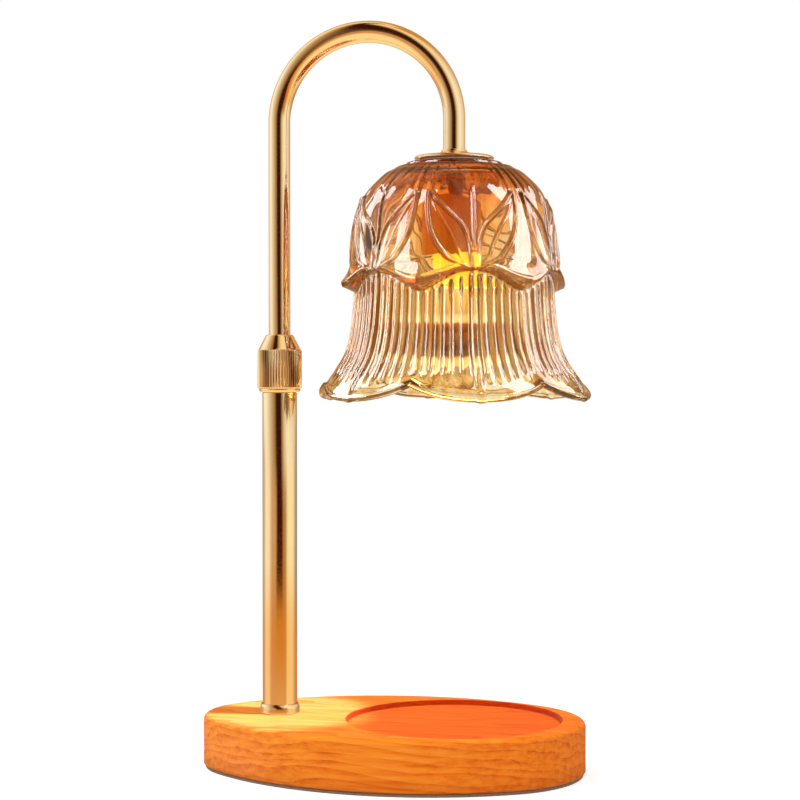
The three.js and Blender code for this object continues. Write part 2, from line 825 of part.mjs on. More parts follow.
// Bulb: levels in its own frame, from the front face up
const neckFoot = bulbHeight - bulbNeckHeight;
const bowlShares = [[1, 0], [0.94, 0.22], [0.79, 0.5], [0.58, 0.78], [0.44, 1]];

function bulbReflector() {
  const bowlHeight = neckFoot - bulbRimHeight - seatGap;
  const outside = bowlShares.map(([r, z]) => [r * bulbRadius, bulbRimHeight + z * bowlHeight]);
  const inside = outside.map(([r, z]) => [r - bulbGlass, z]).reverse();
  return turned(
    [[bulbRadius - bulbGlass, 0], [bulbRadius, 0], ...outside, ...inside],
    roundSides,
  );
}

const bulbLens = () =>
  rod(bulbRadius - bulbGlass - seatGap, lensInset, lensInset + lensThickness);

const bulbNeck = () =>
  turned(
    [
      [0, neckFoot],
      [bulbNeckRadius, neckFoot],
      [bulbNeckRadius, bulbHeight - bulbNeckTaper],
      [bulbNeckRadius - bulbNeckTaper, bulbHeight],
      [0, bulbHeight],
    ],
    roundSides,
  );

// Quartz capsule that hangs from the neck inside the reflector
const bulbCapsule = () =>
  turned(
    [
      [0, neckFoot - seatGap - capsuleLength],
      [capsuleRadius / 2, neckFoot - seatGap - capsuleLength + capsuleRadius / 4],
      [capsuleRadius, neckFoot - seatGap - capsuleLength + capsuleRadius],
      [capsuleRadius, neckFoot - seatGap],
      [0, neckFoot - seatGap],
    ],
    smallSides,
  );

const bulbPin = () =>
  turned(
    [
      [0, bulbHeight + seatGap],
      [pinRadius, bulbHeight + seatGap],
      [pinRadius, bulbHeight + pinShankLength],
      [pinHeadRadius, bulbHeight + pinShankLength],
      [pinHeadRadius, bulbHeight + pinShankLength + pinHeadHeight],
      [0, bulbHeight + pinShankLength + pinHeadHeight],
    ],
    smallSides,
  );

function placed(mesh, x, y = 0) {
  mesh.position.set(x, y, 0);
  return mesh;
}

// The bodies, each a group that moves as one
const base = new THREE.Group().add(
  piece("wood_base", woodBase(), oakWood),
  piece("base_pad", basePad(), darkRubber),
  piece("cord_grommet", cordGrommet(), darkRubber),
  group(
    poleX,
    0,
    piece("bottom_cover", bottomCover(), darkRubber),
    piece("pole_tube", poleTube(), goldPlate),
    piece("foot_collar", footCollar(), goldPlate),
    piece("pole_anchor", poleAnchor(), brass),
    piece("pole_washer", poleWasher(), steel),
    piece("pole_nut", poleNut(), steel),
    ...coverScrewAngles.map((angle, i) =>
      placed(
        piece(`cover_screw_${i + 1}`, coverScrew(), steel),
        coverScrewCircle * Math.cos(angle),
        coverScrewCircle * Math.sin(angle),
      ),
    ),
  ),
);

const lock = group(
  poleX,
  nutBottom,
  piece("lock_nut", lockNut(), goldPlate),
  piece("collet", collet(), brass),
);

const bulb = group(
  0,
  ceramicBottom - seatGap - bulbHeight,
  piece("bulb_reflector", bulbReflector(), bulbGlassFinish),
  piece("bulb_lens", bulbLens(), bulbGlassFinish),
  piece("bulb_neck", bulbNeck(), ceramic),
  piece("bulb_capsule", bulbCapsule(), bulbGlassFinish),
  placed(piece("bulb_pin_1", bulbPin(), steel), pinSpacing / 2),
  placed(piece("bulb_pin_2", bulbPin(), steel), -pinSpacing / 2),
);

const head = group(
  armReach,
  armTubeEnd,
  piece("neck_flange", neckFlange(), goldPlate),
  piece("shade_cap", shadeCap(), goldPlate),
  piece("neck_nipple", neckNipple(), brass),
  piece(
    "upper_gasket",
    ring(gasketRadius, nippleHole, upperGasketTop - gasketThickness, upperGasketTop),
    clearSilicone,
  ),
  group(0, glassTop, piece("glass_shade", glassShade(), amberGlass)),
  piece(
    "lower_gasket",
    ring(gasketRadius, nippleHole, lowerGasketTop - gasketThickness, lowerGasketTop),
    clearSilicone,
  ),
  piece("shade_washer", ring(washerRadius, nippleHole, washerTop - washerThickness, washerTop), brass),
  piece("shade_nut", hexNut(shadeNutRadius, nippleHole, shadeNutTop - shadeNutHeight, shadeNutTop), brass),
  piece("holder_cup", holderCup(), brass),
  piece("holder_nut", holderNut(), steel),
  piece("holder_ceramic", ceramicBlock(), ceramic),
  placed(piece("holder_screw_1", holderScrew(), steel), 0, holderScrewCircle),
  placed(piece("holder_screw_2", holderScrew(), steel), 0, -holderScrewCircle),
  placed(piece("holder_contact_1", contactStrip(), brass), pinSpacing / 2),
  placed(piece("holder_contact_2", contactStrip(), brass), -pinSpacing / 2),
  bulb,
);

const arm = group(
  poleX,
  0,
  piece("gooseneck", gooseneck(), goldPlate),
  piece("guide_clip_lower", retainingClip(guideFoot - seatGap - clipThickness), steel),
  piece("guide_clip_upper", retainingClip(guideFoot + guideLength + seatGap), steel),
  piece("guide_bush", guideBush(), whiteNylon),
  head,
);

const lamp = new THREE.Group();
lamp.name = "candle_warmer_lamp";
lamp.add(base, lock, arm);

export default lamp;
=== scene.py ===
import math

import bpy
import numpy as np
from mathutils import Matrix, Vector


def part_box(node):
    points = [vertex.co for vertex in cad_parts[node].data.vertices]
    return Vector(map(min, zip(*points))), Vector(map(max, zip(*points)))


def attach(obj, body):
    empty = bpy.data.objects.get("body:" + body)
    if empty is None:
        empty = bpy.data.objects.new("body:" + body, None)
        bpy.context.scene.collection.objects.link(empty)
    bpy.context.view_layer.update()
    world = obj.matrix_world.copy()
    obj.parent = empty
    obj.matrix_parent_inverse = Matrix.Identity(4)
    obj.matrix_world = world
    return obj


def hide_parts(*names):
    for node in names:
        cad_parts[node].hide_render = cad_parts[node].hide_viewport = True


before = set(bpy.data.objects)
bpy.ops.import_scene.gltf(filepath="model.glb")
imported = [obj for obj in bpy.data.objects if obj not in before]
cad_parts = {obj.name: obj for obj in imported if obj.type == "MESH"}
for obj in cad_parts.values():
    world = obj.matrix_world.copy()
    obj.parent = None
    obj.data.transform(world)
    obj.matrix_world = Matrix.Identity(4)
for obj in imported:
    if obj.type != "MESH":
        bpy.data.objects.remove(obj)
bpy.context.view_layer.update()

MM = 0.001

# Camera, at the photograph's viewing angle
CAMERA_PLACE = (0.1924, -0.9378, 0.1995)
CAMERA_YAW = math.radians(11.37)
CAMERA_PITCH = math.radians(0.99)
FOCAL_PIXELS = 1939.4
PHOTO_PIXELS = 800
SENSOR_WIDTH = 36.0

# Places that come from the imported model
pole_low, pole_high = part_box("pole_tube")
wood_low, wood_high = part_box("wood_base")
arm_low, arm_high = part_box("gooseneck")
shade_low, shade_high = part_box("glass_shade")
nut_low, nut_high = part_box("lock_nut")
POLE_X = (pole_low.x + pole_high.x) / 2
POLE_RADIUS = (pole_high.x - pole_low.x) / 2
ARM_RADIUS = (arm_high.y - arm_low.y) / 2
SHADE_X = arm_high.x - ARM_RADIUS
BEND_RADIUS = (SHADE_X - POLE_X) / 2
BEND_FOOT = arm_high.z - ARM_RADIUS - BEND_RADIUS
GLASS_TOP = shade_high.z

# Sizes that the boxes don't give
ARM_DROP = 16 * MM
ARM_END = BEND_FOOT - ARM_DROP
NOSE_RADIUS = 38 * MM
TAIL_RADIUS = 52.5 * MM
SIDE_RADIUS = 130 * MM
RECESS_RADIUS = 53 * MM
RECESS_DEPTH = 2.6 * MM
TOP_ROUNDING = 3 * MM


def camera():
    """Adds the camera of the photograph's view."""
    data = bpy.data.cameras.new("camera")
    data.sensor_width = SENSOR_WIDTH
    data.lens = SENSOR_WIDTH * FOCAL_PIXELS / PHOTO_PIXELS
    made = bpy.data.objects.new("camera", data)
    made.location = CAMERA_PLACE
    made.rotation_euler = (math.pi / 2 - CAMERA_PITCH, 0, CAMERA_YAW)
    bpy.context.scene.collection.objects.link(made)
    bpy.context.scene.camera = made


# Meshes

TURNED_SMOOTH_ANGLE = 50


def mesh_piece(name, points, faces, material, smooth_angle=35):
    """An object made of points and faces, smooth but for edges sharper than an angle."""
    mesh = bpy.data.meshes.new(name)
    mesh.from_pydata([tuple(p) for p in points], [], faces)
    mesh.update()
    mesh.polygons.foreach_set("use_smooth", [True] * len(mesh.polygons))
    mesh.set_sharp_from_angle(angle=math.radians(smooth_angle))
    mesh.materials.append(material)
    made = bpy.data.objects.new(name, mesh)
    bpy.context.scene.collection.objects.link(made)
    return made


def grid_faces(rows, columns, closed_rows):
    """Quads over a grid whose columns close on themselves, and whose rows may."""
    faces = []
    for i in range(rows if closed_rows else rows - 1):
        low, high = i * columns, (i + 1) % rows * columns
        for j in range(columns):
            k = (j + 1) % columns
            faces.append((low + j, low + k, high + k, high + j))
    return faces


def rounded(outline, radius, steps=4):
    """A closed outline of (radius, height) points with its corners rounded."""
    made = []
    count = len(outline)
    for i, corner in enumerate(outline):
        here = Vector(corner)
        before, after = Vector(outline[i - 1]) - here, Vector(outline[(i + 1) % count]) - here
        if here.x <= 0 or min(before.length, after.length) < 1e-9:
            made.append(tuple(here))
            continue
        reach = min(radius, before.length * 0.45, after.length * 0.45)
        start, end = here + before.normalized() * reach, here + after.normalized() * reach
        for step in range(steps + 1):
            t = step / steps
            made.append(tuple(start * (1 - t) ** 2 + here * 2 * t * (1 - t) + end * t**2))
    return made


def turned(name, outline, material, place=(0, 0), sides=96, edge=0.25 * MM):
    """A piece turned about a vertical axis, from an anticlockwise outline in metres."""
    profile = rounded(outline, edge)
    angles = np.linspace(0, 2 * math.pi, sides, endpoint=False)
    points = [
        (place[0] + r * math.cos(a), place[1] + r * math.sin(a), z)
        for r, z in profile
        for a in angles
    ]
    faces = grid_faces(len(profile), sides, True)
    return mesh_piece(name, points, faces, material, TURNED_SMOOTH_ANGLE)


# Materials


def fill_band(band, stops):
    """Sets a colour ramp to places from 0 to 1, in order, with a colour for each."""
    band.elements[0].position = stops[0][0]
    band.elements[1].position = stops[-1][0]
    for place, _ in stops[1:-1]:
        band.elements.new(place)
    for element, (_, colour) in zip(band.elements, stops):
        element.color = (*colour, 1)


class Nodes:
    """A node tree, and short ways to add to it."""

    def __init__(self, tree):
        self.tree = tree

    def node(self, kind, inputs=None, **settings):
        made = self.tree.nodes.new(kind)
        for key, value in settings.items():
            setattr(made, key, value)
        for key, value in (inputs or {}).items():
            if isinstance(value, bpy.types.NodeSocket):
                self.tree.links.new(value, made.inputs[key])
            else:
                made.inputs[key].default_value = value
        return made

    def math(self, operation, a, b=0.0):
        return self.node("ShaderNodeMath", {0: a, 1: b}, operation=operation).outputs[0]

    def blend(self, kind, share, first, second):
        """A colour blended with another by a kind of blend, as far as the share says."""
        colours = {0: share, 6: first, 7: second}
        made = self.node("ShaderNodeMix", colours, data_type="RGBA", blend_type=kind)
        return made.outputs[2]

    def mix(self, share, first, second):
        """The first colour at share 0, and the second at share 1."""
        return self.blend("MIX", share, first, second)

    def times(self, share, first, second):
        """The first colour at share 0, and the product of both at share 1."""
        return self.blend("MULTIPLY", share, first, second)

    def ramp(self, value, stops):
        made = self.node("ShaderNodeValToRGB", {"Fac": value})
        fill_band(made.color_ramp, stops)
        return made.outputs["Color"]

    def span(self, value, low, high, to_low=0.0, to_high=1.0, kind="LINEAR"):
        """A value's stretch from low to high, mapped to another stretch."""
        made = self.node(
            "ShaderNodeMapRange",
            {
                "Value": value,
                "From Min": low,
                "From Max": high,
                "To Min": to_low,
                "To Max": to_high,
            },
            interpolation_type=kind,
        )
        return made.outputs["Result"]

    def window(self, value, low, high, soft):
        """1 between two values and 0 outside them, with soft ends."""
        rise = self.span(value, low - soft, low, kind="SMOOTHSTEP")
        fall = self.span(value, high, high + soft, 1.0, 0.0, kind="SMOOTHSTEP")
        return self.math("MULTIPLY", rise, fall)


class Finish(Nodes):
    """A material with one Principled shader."""

    def __init__(self, name, **settings):
        self.material = bpy.data.materials.new(name)
        self.material.use_nodes = True
        super().__init__(self.material.node_tree)
        self.shader = self.tree.nodes["Principled BSDF"]
        for key, value in settings.items():
            self.shader.inputs[key.replace("_", " ")].default_value = value

    def link(self, output, socket):
        self.tree.links.new(output, self.shader.inputs[socket])

    def places(self, scale=(1, 1, 1)):
        """Places on the piece in the model's frame, stretched."""
        where = self.node("ShaderNodeTexCoord").outputs["Object"]
        return self.node("ShaderNodeMapping", {"Vector": where, "Scale": scale}).outputs[0]

    def axes(self):
        where = self.node("ShaderNodeTexCoord").outputs["Object"]
        return self.node("ShaderNodeSeparateXYZ", {"Vector": where}).outputs

    def noise(self, scale, detail=3, stretch=(1, 1, 1), roughness=0.5):
        made = self.node(
            "ShaderNodeTexNoise",
            {
                "Vector": self.places(stretch),
                "Scale": scale,
                "Detail": detail,
                "Roughness": roughness,
            },
        )
        return made.outputs["Fac"]

    def bump(self, height, distance, strength=1.0):
        inputs = {"Height": height, "Distance": distance, "Strength": strength}
        made = self.node("ShaderNodeBump", inputs)
        self.link(made.outputs["Normal"], "Normal")


def metal_finish(name, colour, roughness, metallic=1.0, glow=0.0):
    """Metal with faint clouds of colour and fine wear, and an optional painted glow."""
    made = Finish(name, Metallic=metallic, Emission_Color=(*colour, 1), Emission_Strength=glow)
    pale = tuple(min(1, c * 1.05) for c in colour)
    made.link(made.ramp(made.noise(90), [(0.3, colour), (0.7, pale)]), "Base Color")
    wear = made.noise(900, 2)
    made.link(made.span(wear, 0.3, 0.7, roughness * 0.8, roughness * 1.3), "Roughness")
    made.bump(wear, 0.004 * MM, 0.25)
    return made.material


RINGS_PER_METRE = 260.0
RING_SPREAD = 2.5
GRAIN_WAVER = 28 * MM
GRAIN_SLOPE = 0.3


def wood_finish():
    """Orange lacquered board with long wavering grain along X, with painted shade towards its right
    end, in the recess and towards the bottom.
    """
    made = Finish("lacquered_wood", Coat_Weight=0.05, Coat_Roughness=0.22, Specular_IOR_Level=0.12)
    axes = made.axes()
    waver = made.noise(1.0, 2, (7, 10, 16))
    spacing = made.noise(1.0, 1, (3, 60, 110))
    bend = made.math("MULTIPLY", made.math("SUBTRACT", waver, 0.5), GRAIN_WAVER)
    slope = made.math("MULTIPLY", axes["Y"], GRAIN_SLOPE)
    level = made.math("ADD", made.math("ADD", axes["Z"], slope), bend)
    spread = made.math("MULTIPLY", spacing, RING_SPREAD)
    turns = made.math("ADD", made.math("MULTIPLY", level, RINGS_PER_METRE), spread)
    late = made.math("POWER", made.math("FRACT", turns), 2.2)
    streaks = made.noise(1.0, 4, (14, 360, 420), 0.65)
    pores = made.noise(1.0, 2, (70, 1600, 1600), 0.5)
    dark_pores = made.span(pores, 0.62, 0.72)
    tone = made.math("ADD", made.math("MULTIPLY", late, 0.22), made.math("MULTIPLY", streaks, 0.9))
    tone = made.math("ADD", tone, made.math("MULTIPLY", dark_pores, 0.12))
    colour = made.ramp(
        tone,
        [
            (0.28, (1.0, 0.37, 0.04)),
            (0.46, (0.97, 0.29, 0.022)),
            (0.64, (0.86, 0.2, 0.011)),
            (0.88, (0.58, 0.095, 0.005)),
        ],
    )
    # Painted shade: the board turns darker and redder towards its right end.
    across = made.span(axes["X"], wood_low.x, wood_high.x)
    colour = made.times(across, colour, (0.95, 0.76, 0.55, 1))
    away_x = made.math("ABSOLUTE", made.math("SUBTRACT", axes["X"], SHADE_X))
    away_y = made.math("ABSOLUTE", axes["Y"])
    squares = made.math("ADD", made.math("POWER", away_x, 2.0), made.math("POWER", away_y, 2.0))
    away = made.math("SQRT", squares)
    # Painted shade in the recess, darker and redder still at its wall.
    at_top = made.math("GREATER_THAN", axes["Z"], wood_high.z - 4 * MM)
    sunk = made.math("MULTIPLY", made.math("LESS_THAN", away, RECESS_RADIUS + 0.2 * MM), at_top)
    recess_shade = made.times(sunk, colour, (0.85, 0.55, 0.4, 1))
    wall = made.window(away, RECESS_RADIUS - 0.6 * MM, RECESS_RADIUS + 0.2 * MM, 0.5 * MM)
    recess_wall_shade = made.times(made.math("MULTIPLY", wall, at_top), recess_shade, (0.6, 0.32, 0.25, 1))
    # Painted shade: darker towards the bottom of the board.
    foot = made.span(axes["Z"], wood_low.z, wood_low.z + 9 * MM, 1.0, 0.0, kind="SMOOTHSTEP")
    made.link(made.times(foot, recess_wall_shade, (0.84, 0.76, 0.7, 1)), "Base Color")
    made.link(made.span(pores, 0.3, 0.7, 0.36, 0.5), "Roughness")
    made.bump(pores, 0.02 * MM, 0.3)
    return made.material


def rubber_finish(name, colour, roughness=0.8):
    """Matt rubber, foam or plastic with a fine grain."""
    made = Finish(name)
    paler = tuple(c * 1.35 + 0.01 for c in colour)
    made.link(made.ramp(made.noise(1500, 2), [(0.35, colour), (0.65, paler)]), "Base Color")
    low, high = roughness - 0.1, roughness + 0.1
    made.link(made.span(made.noise(700, 2), 0.3, 0.7, low, high), "Roughness")
    made.bump(made.noise(2600, 2), 0.05 * MM, 0.5)
    return made.material


def ceramic_finish():
    made = Finish("ceramic")
    tone = [(0.3, (0.8, 0.76, 0.68)), (0.7, (0.88, 0.85, 0.78))]
    made.link(made.ramp(made.noise(400, 3), tone), "Base Color")
    made.link(made.span(made.noise(900, 2), 0.3, 0.7, 0.5, 0.7), "Roughness")
    made.bump(made.noise(1800, 2), 0.02 * MM, 0.4)
    return made.material


STREAK_TINT = (0.86, 0.56, 0.22, 1)
# Tint and pointiness range of the painted shade in the glass's creases.
CREASE_SHADE_TINT = (0.27, 0.14, 0.06, 1)
CREASE_SHADE_POINTINESS = (0.45, 0.497)


def shade_glass():
    """Pressed glass, red-orange at the crown and champagne at the skirt, with painted shade in its
    creases.
    """
    made = Finish("amber_glass", Transmission_Weight=1.0, IOR=1.55, Specular_IOR_Level=0.75)
    up = made.span(made.axes()["Z"], shade_low.z, shade_high.z)
    cloud = made.math("MULTIPLY", made.math("SUBTRACT", made.noise(40, 3), 0.5), 0.08)
    colour = made.ramp(
        made.math("ADD", up, cloud),
        [
            (0.0, (0.93, 0.82, 0.54)),
            (0.35, (0.95, 0.86, 0.6)),
            (0.52, (0.97, 0.86, 0.6)),
            (0.7, (0.98, 0.78, 0.48)),
            (0.88, (0.97, 0.58, 0.2)),
            (0.975, (0.84, 0.19, 0.012)),
        ],
    )
    bands = made.span(made.noise(1.0, 2, (210, 210, 4)), 0.5, 0.64, 0.0, 0.85)
    colour = made.times(bands, colour, STREAK_TINT)
    # Painted shade: browner where the surface is hollow, in creases and valleys.
    pointed = made.node("ShaderNodeNewGeometry").outputs["Pointiness"]
    crease_shade = made.span(pointed, *CREASE_SHADE_POINTINESS, 1.0, 0.0)
    colour = made.times(crease_shade, colour, CREASE_SHADE_TINT)
    made.link(colour, "Base Color")
    made.link(made.span(made.noise(300, 2), 0.3, 0.7, 0.015, 0.04), "Roughness")
    made.bump(made.noise(90, 2), 0.12 * MM, 0.4)
    # Painted faint orange glow, which warms the glass's darkest lines.
    made.shader.inputs["Emission Color"].default_value = (1.0, 0.42, 0.12, 1)
    made.shader.inputs["Emission Strength"].default_value = 0.01
    absorbed = {"Color": (0.93, 0.62, 0.1, 1), "Density": 45.0}
    depth = made.node("ShaderNodeVolumeAbsorption", absorbed)
    output = made.tree.nodes["Material Output"]
    made.tree.links.new(depth.outputs[0], output.inputs["Volume"])
    return made.material


def lens_glass(name, colour, glow):
    """Glass or ceramic of the bulb, dimpled and lit from inside."""
    made = Finish(name, Transmission_Weight=0.6, IOR=1.45, Emission_Strength=glow)
    cells = made.node("ShaderNodeTexVoronoi", {"Vector": made.places(), "Scale": 450.0})
    spots = cells.outputs["Distance"]
    pale = tuple(min(1, c * 1.15 + 0.05) for c in colour)
    made.link(made.ramp(spots, [(0.1, pale), (0.7, colour)]), "Base Color")
    made.link(made.ramp(spots, [(0.1, pale), (0.7, colour)]), "Emission Color")
    made.link(made.span(made.noise(500, 2), 0.3, 0.7, 0.1, 0.2), "Roughness")
    made.bump(spots, 0.1 * MM, 0.4)
    return made.material


def bulb_finish(low, high):
    """Mirrored reflector with painted yellow glow in bands by height: at its front rim, in a ring
    half way up and towards its neck.
    """
    made = Finish("bulb_bowl", Metallic=1.0, Emission_Strength=1.0)
    up = made.span(made.axes()["Z"], low, high)
    cloud = made.math("MULTIPLY", made.math("SUBTRACT", made.noise(260, 3), 0.5), 0.05)
    mottled = made.math("ADD", up, cloud)
    silver = [
        (0.0, (0.95, 0.88, 0.65)),
        (0.12, (0.95, 0.86, 0.68)),
        (0.5, (0.95, 0.82, 0.6)),
        (1.0, (0.95, 0.75, 0.42)),
    ]
    # Painted glow, dark between its bands.
    glow = [
        (0.0, (1.0, 0.88, 0.5)),
        (0.1, (1.0, 0.75, 0.3)),
        (0.14, (0.01, 0.003, 0.0)),
        (0.46, (0.015, 0.004, 0.0)),
        (0.54, (0.35, 0.12, 0.01)),
        (0.57, (1.0, 0.92, 0.55)),
        (0.63, (1.0, 0.92, 0.55)),
        (0.67, (0.75, 0.55, 0.2)),
        (0.92, (0.85, 0.65, 0.22)),
        (1.0, (1.0, 0.85, 0.4)),
    ]
    made.link(made.ramp(mottled, silver), "Base Color")
    made.link(made.ramp(mottled, glow), "Emission Color")
    made.link(made.span(made.noise(500, 2), 0.3, 0.7, 0.06, 0.12), "Roughness")
    return made.material


GOLD = metal_finish("polished_gold", (1.0, 0.78, 0.5), 0.11)
BRASS = metal_finish("turned_brass", (0.78, 0.46, 0.16), 0.3)
# The holder's shell has a faint painted glow, as if lit by the lamp inside the shade.
COPPER = metal_finish("copper_shell", (0.95, 0.38, 0.05), 0.4, metallic=0.3, glow=0.1)
STEEL = metal_finish("plain_steel", (0.62, 0.62, 0.63), 0.3)
WOOD = wood_finish()
FOAM = rubber_finish("foam_pad", (0.22, 0.15, 0.1), 0.88)
BLACK = rubber_finish("black_plastic", (0.02, 0.02, 0.02), 0.6)
SILICONE = rubber_finish("pale_silicone", (0.55, 0.5, 0.42), 0.55)
NYLON = rubber_finish("nylon", (0.62, 0.6, 0.55), 0.5)
CERAMIC = ceramic_finish()
GLASS = shade_glass()


# Base


def plan_radius(angles, inset):
    """How far the base's outline is from the shade's axis, in each direction."""
    spacing = wood_high.x - wood_low.x - NOSE_RADIUS - TAIL_RADIUS
    to_nose, to_tail = SIDE_RADIUS - NOSE_RADIUS, SIDE_RADIUS - TAIL_RADIUS
    side_x = (to_nose**2 - to_tail**2 + spacing**2) / (2 * spacing)
    side_y = math.sqrt(to_nose**2 - side_x**2)
    nose_angle = math.atan2(side_y, -side_x)
    tail_angle = math.atan2(side_y, spacing - side_x)
    arcs = [
        (POLE_X + spacing, 0, TAIL_RADIUS, -tail_angle, tail_angle),
        (POLE_X + side_x, -side_y, SIDE_RADIUS, tail_angle, nose_angle),
        (POLE_X, 0, NOSE_RADIUS, nose_angle, 2 * math.pi - nose_angle),
        (POLE_X + side_x, side_y, SIDE_RADIUS, -nose_angle, -tail_angle),
    ]
    outline = np.vstack(
        [
            np.c_[x + (r - inset) * np.cos(t), y + (r - inset) * np.sin(t)]
            for x, y, r, start, end in arcs
            for t in [np.linspace(start, end, 400)]
        ]
    )
    bearing = np.arctan2(outline[:, 1], outline[:, 0] - SHADE_X)
    order = np.argsort(bearing)
    reach = np.hypot(outline[:, 0] - SHADE_X, outline[:, 1])
    return np.interp(angles, bearing[order], reach[order], period=2 * math.pi)


def wood_block():
    columns = 360
    angles = np.linspace(-math.pi, math.pi, columns, endpoint=False)
    bottom, top = wood_low.z, wood_high.z
    loops = [(plan_radius(angles, 12 * MM), bottom), (plan_radius(angles, 0.5 * MM), bottom)]
    loops.append((plan_radius(angles, 0), bottom + 0.5 * MM))
    for step in range(9):
        turn = step / 8 * math.pi / 2
        inset = TOP_ROUNDING * (1 - math.cos(turn))
        height = top - TOP_ROUNDING + TOP_ROUNDING * math.sin(turn)
        loops.append((plan_radius(angles, inset), height))
    edge = plan_radius(angles, TOP_ROUNDING)
    lip = 0.5 * MM
    for share in (0.25, 0.5, 0.75):
        loops.append((edge + share * (RECESS_RADIUS + lip - edge), top))
    for step in range(5):
        turn = step / 4 * math.pi / 2
        radius = RECESS_RADIUS + lip * (1 - math.sin(turn))
        loops.append((np.full(columns, radius), top - lip * (1 - math.cos(turn))))
    floor = top - RECESS_DEPTH
    loops.append((np.full(columns, RECESS_RADIUS), floor + lip / 2))
    for radius in (RECESS_RADIUS - lip / 2, RECESS_RADIUS * 0.7, RECESS_RADIUS * 0.3, 0.5 * MM):
        loops.append((np.full(columns, radius), floor))
    points = [
        (SHADE_X + r * math.cos(a), r * math.sin(a), z)
        for radii, z in loops
        for r, a in zip(radii, angles)
    ]
    faces = grid_faces(len(loops), columns, False)
    faces.append(list(range(columns))[::-1])
    last = (len(loops) - 1) * columns
    faces.append([last + j for j in range(columns)])
    made = mesh_piece("wood_block", points, faces, WOOD)
    made.visible_glossy = False
    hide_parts("wood_base")
    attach(made, "base")


def base_pad():
    low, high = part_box("base_pad")
    cover_low, cover_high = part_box("bottom_cover")
    hole = (cover_high.x - cover_low.x) / 2 + 1 * MM
    columns = 360
    angles = np.linspace(-math.pi, math.pi, columns, endpoint=False)
    soft = 0.3 * MM
    inset = wood_high.x - high.x
    centre = np.array([POLE_X, 0])
    rings = []
    for step, z in ((soft, low.z), (0, low.z + soft), (0, high.z - soft), (soft, high.z)):
        reach = plan_radius(angles, inset + step)
        rings.append((np.c_[SHADE_X + reach * np.cos(angles), reach * np.sin(angles)], z))
    inner = rings[0][0] - centre
    turn = np.arctan2(inner[:, 1], inner[:, 0])
    for z in (high.z, low.z):
        rings.append((centre + hole * np.c_[np.cos(turn), np.sin(turn)], z))
    points = [(x, y, z) for plan, z in rings for x, y in plan]
    made = mesh_piece("foam_sheet", points, grid_faces(len(rings), columns, True), FOAM)
    made.visible_glossy = False
    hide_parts("base_pad")
    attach(made, "base")


# Pole and lock nut


def fine_turned(node, name, outline, material, body, slot, **settings):
    """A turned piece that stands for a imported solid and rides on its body."""
    made = turned(name, outline, material, **settings)
    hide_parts(node)
    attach(made, body)
    return made


def pole():
    at_pole = (POLE_X, 0)
    collar_low, collar_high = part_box("foot_collar")
    tube_top = nut_low.z - 0.3 * MM
    fine_turned(
        "pole_tube",
        "pole_lower_tube",
        [
            (POLE_RADIUS - 1.3 * MM, pole_low.z),
            (POLE_RADIUS, pole_low.z),
            (POLE_RADIUS, tube_top),
            (POLE_RADIUS - 0.4 * MM, tube_top),
            (POLE_RADIUS - 0.4 * MM, pole_high.z),
            (POLE_RADIUS - 1.3 * MM, pole_high.z),
        ],
        GOLD,
        "base",
        "gold",
        place=at_pole,
    )
    outer, inner = (collar_high.x - collar_low.x) / 2, POLE_RADIUS + 0.3 * MM
    fine_turned(
        "foot_collar",
        "pole_foot_collar",
        [
            (inner, collar_low.z),
            (outer, collar_low.z),
            (outer, collar_high.z - 1.1 * MM),
            (inner + 0.35 * MM, collar_high.z),
            (inner, collar_high.z),
        ],
        GOLD,
        "base",
        "gold",
        place=at_pole,
        edge=0.5 * MM,
    )


NUT_TEETH = 48
NUT_KNURL_DEPTH = 0.5 * MM


def lock_nut():
    radius = (nut_high.x - nut_low.x) / 2
    bottom, top = nut_low.z, nut_high.z
    cone_foot = top - 6.8 * MM
    bore = ARM_RADIUS + 0.35 * MM
    plain = [
        (radius - 2.6 * MM, bottom),
        (radius - 1.5 * MM, bottom),
        (radius - 0.7 * MM, bottom + 0.8 * MM),
        (radius - 0.7 * MM, bottom + 1.7 * MM),
        (radius, bottom + 2.2 * MM),
        (radius, cone_foot - 1.3 * MM),
        (radius - 0.6 * MM, cone_foot - 0.5 * MM),
        (radius - 0.9 * MM, cone_foot),
        (6.9 * MM, top - 0.5 * MM),
        (6.4 * MM, top),
        (bore, top),
        (bore, top - 2 * MM),
        (radius - 2.6 * MM, top - 9 * MM),
    ]
    profile = rounded(plain, 0.25 * MM, 3)
    columns = NUT_TEETH * 10
    points = []
    for r, z in profile:
        knurled = r > radius - 0.5 * MM and z < cone_foot - 0.8 * MM
        for j in range(columns):
            angle = 2 * math.pi * j / columns
            tooth = abs(2 * (j / 10 % 1) - 1)
            reach = r - (NUT_KNURL_DEPTH * tooth**1.3 if knurled else 0)
            points.append((POLE_X + reach * math.cos(angle), reach * math.sin(angle), z))
    made = mesh_piece("knurled_nut", points, grid_faces(len(profile), columns, True), GOLD, 40)
    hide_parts("lock_nut")
    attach(made, "lock_nut")


# Gooseneck and what it carries


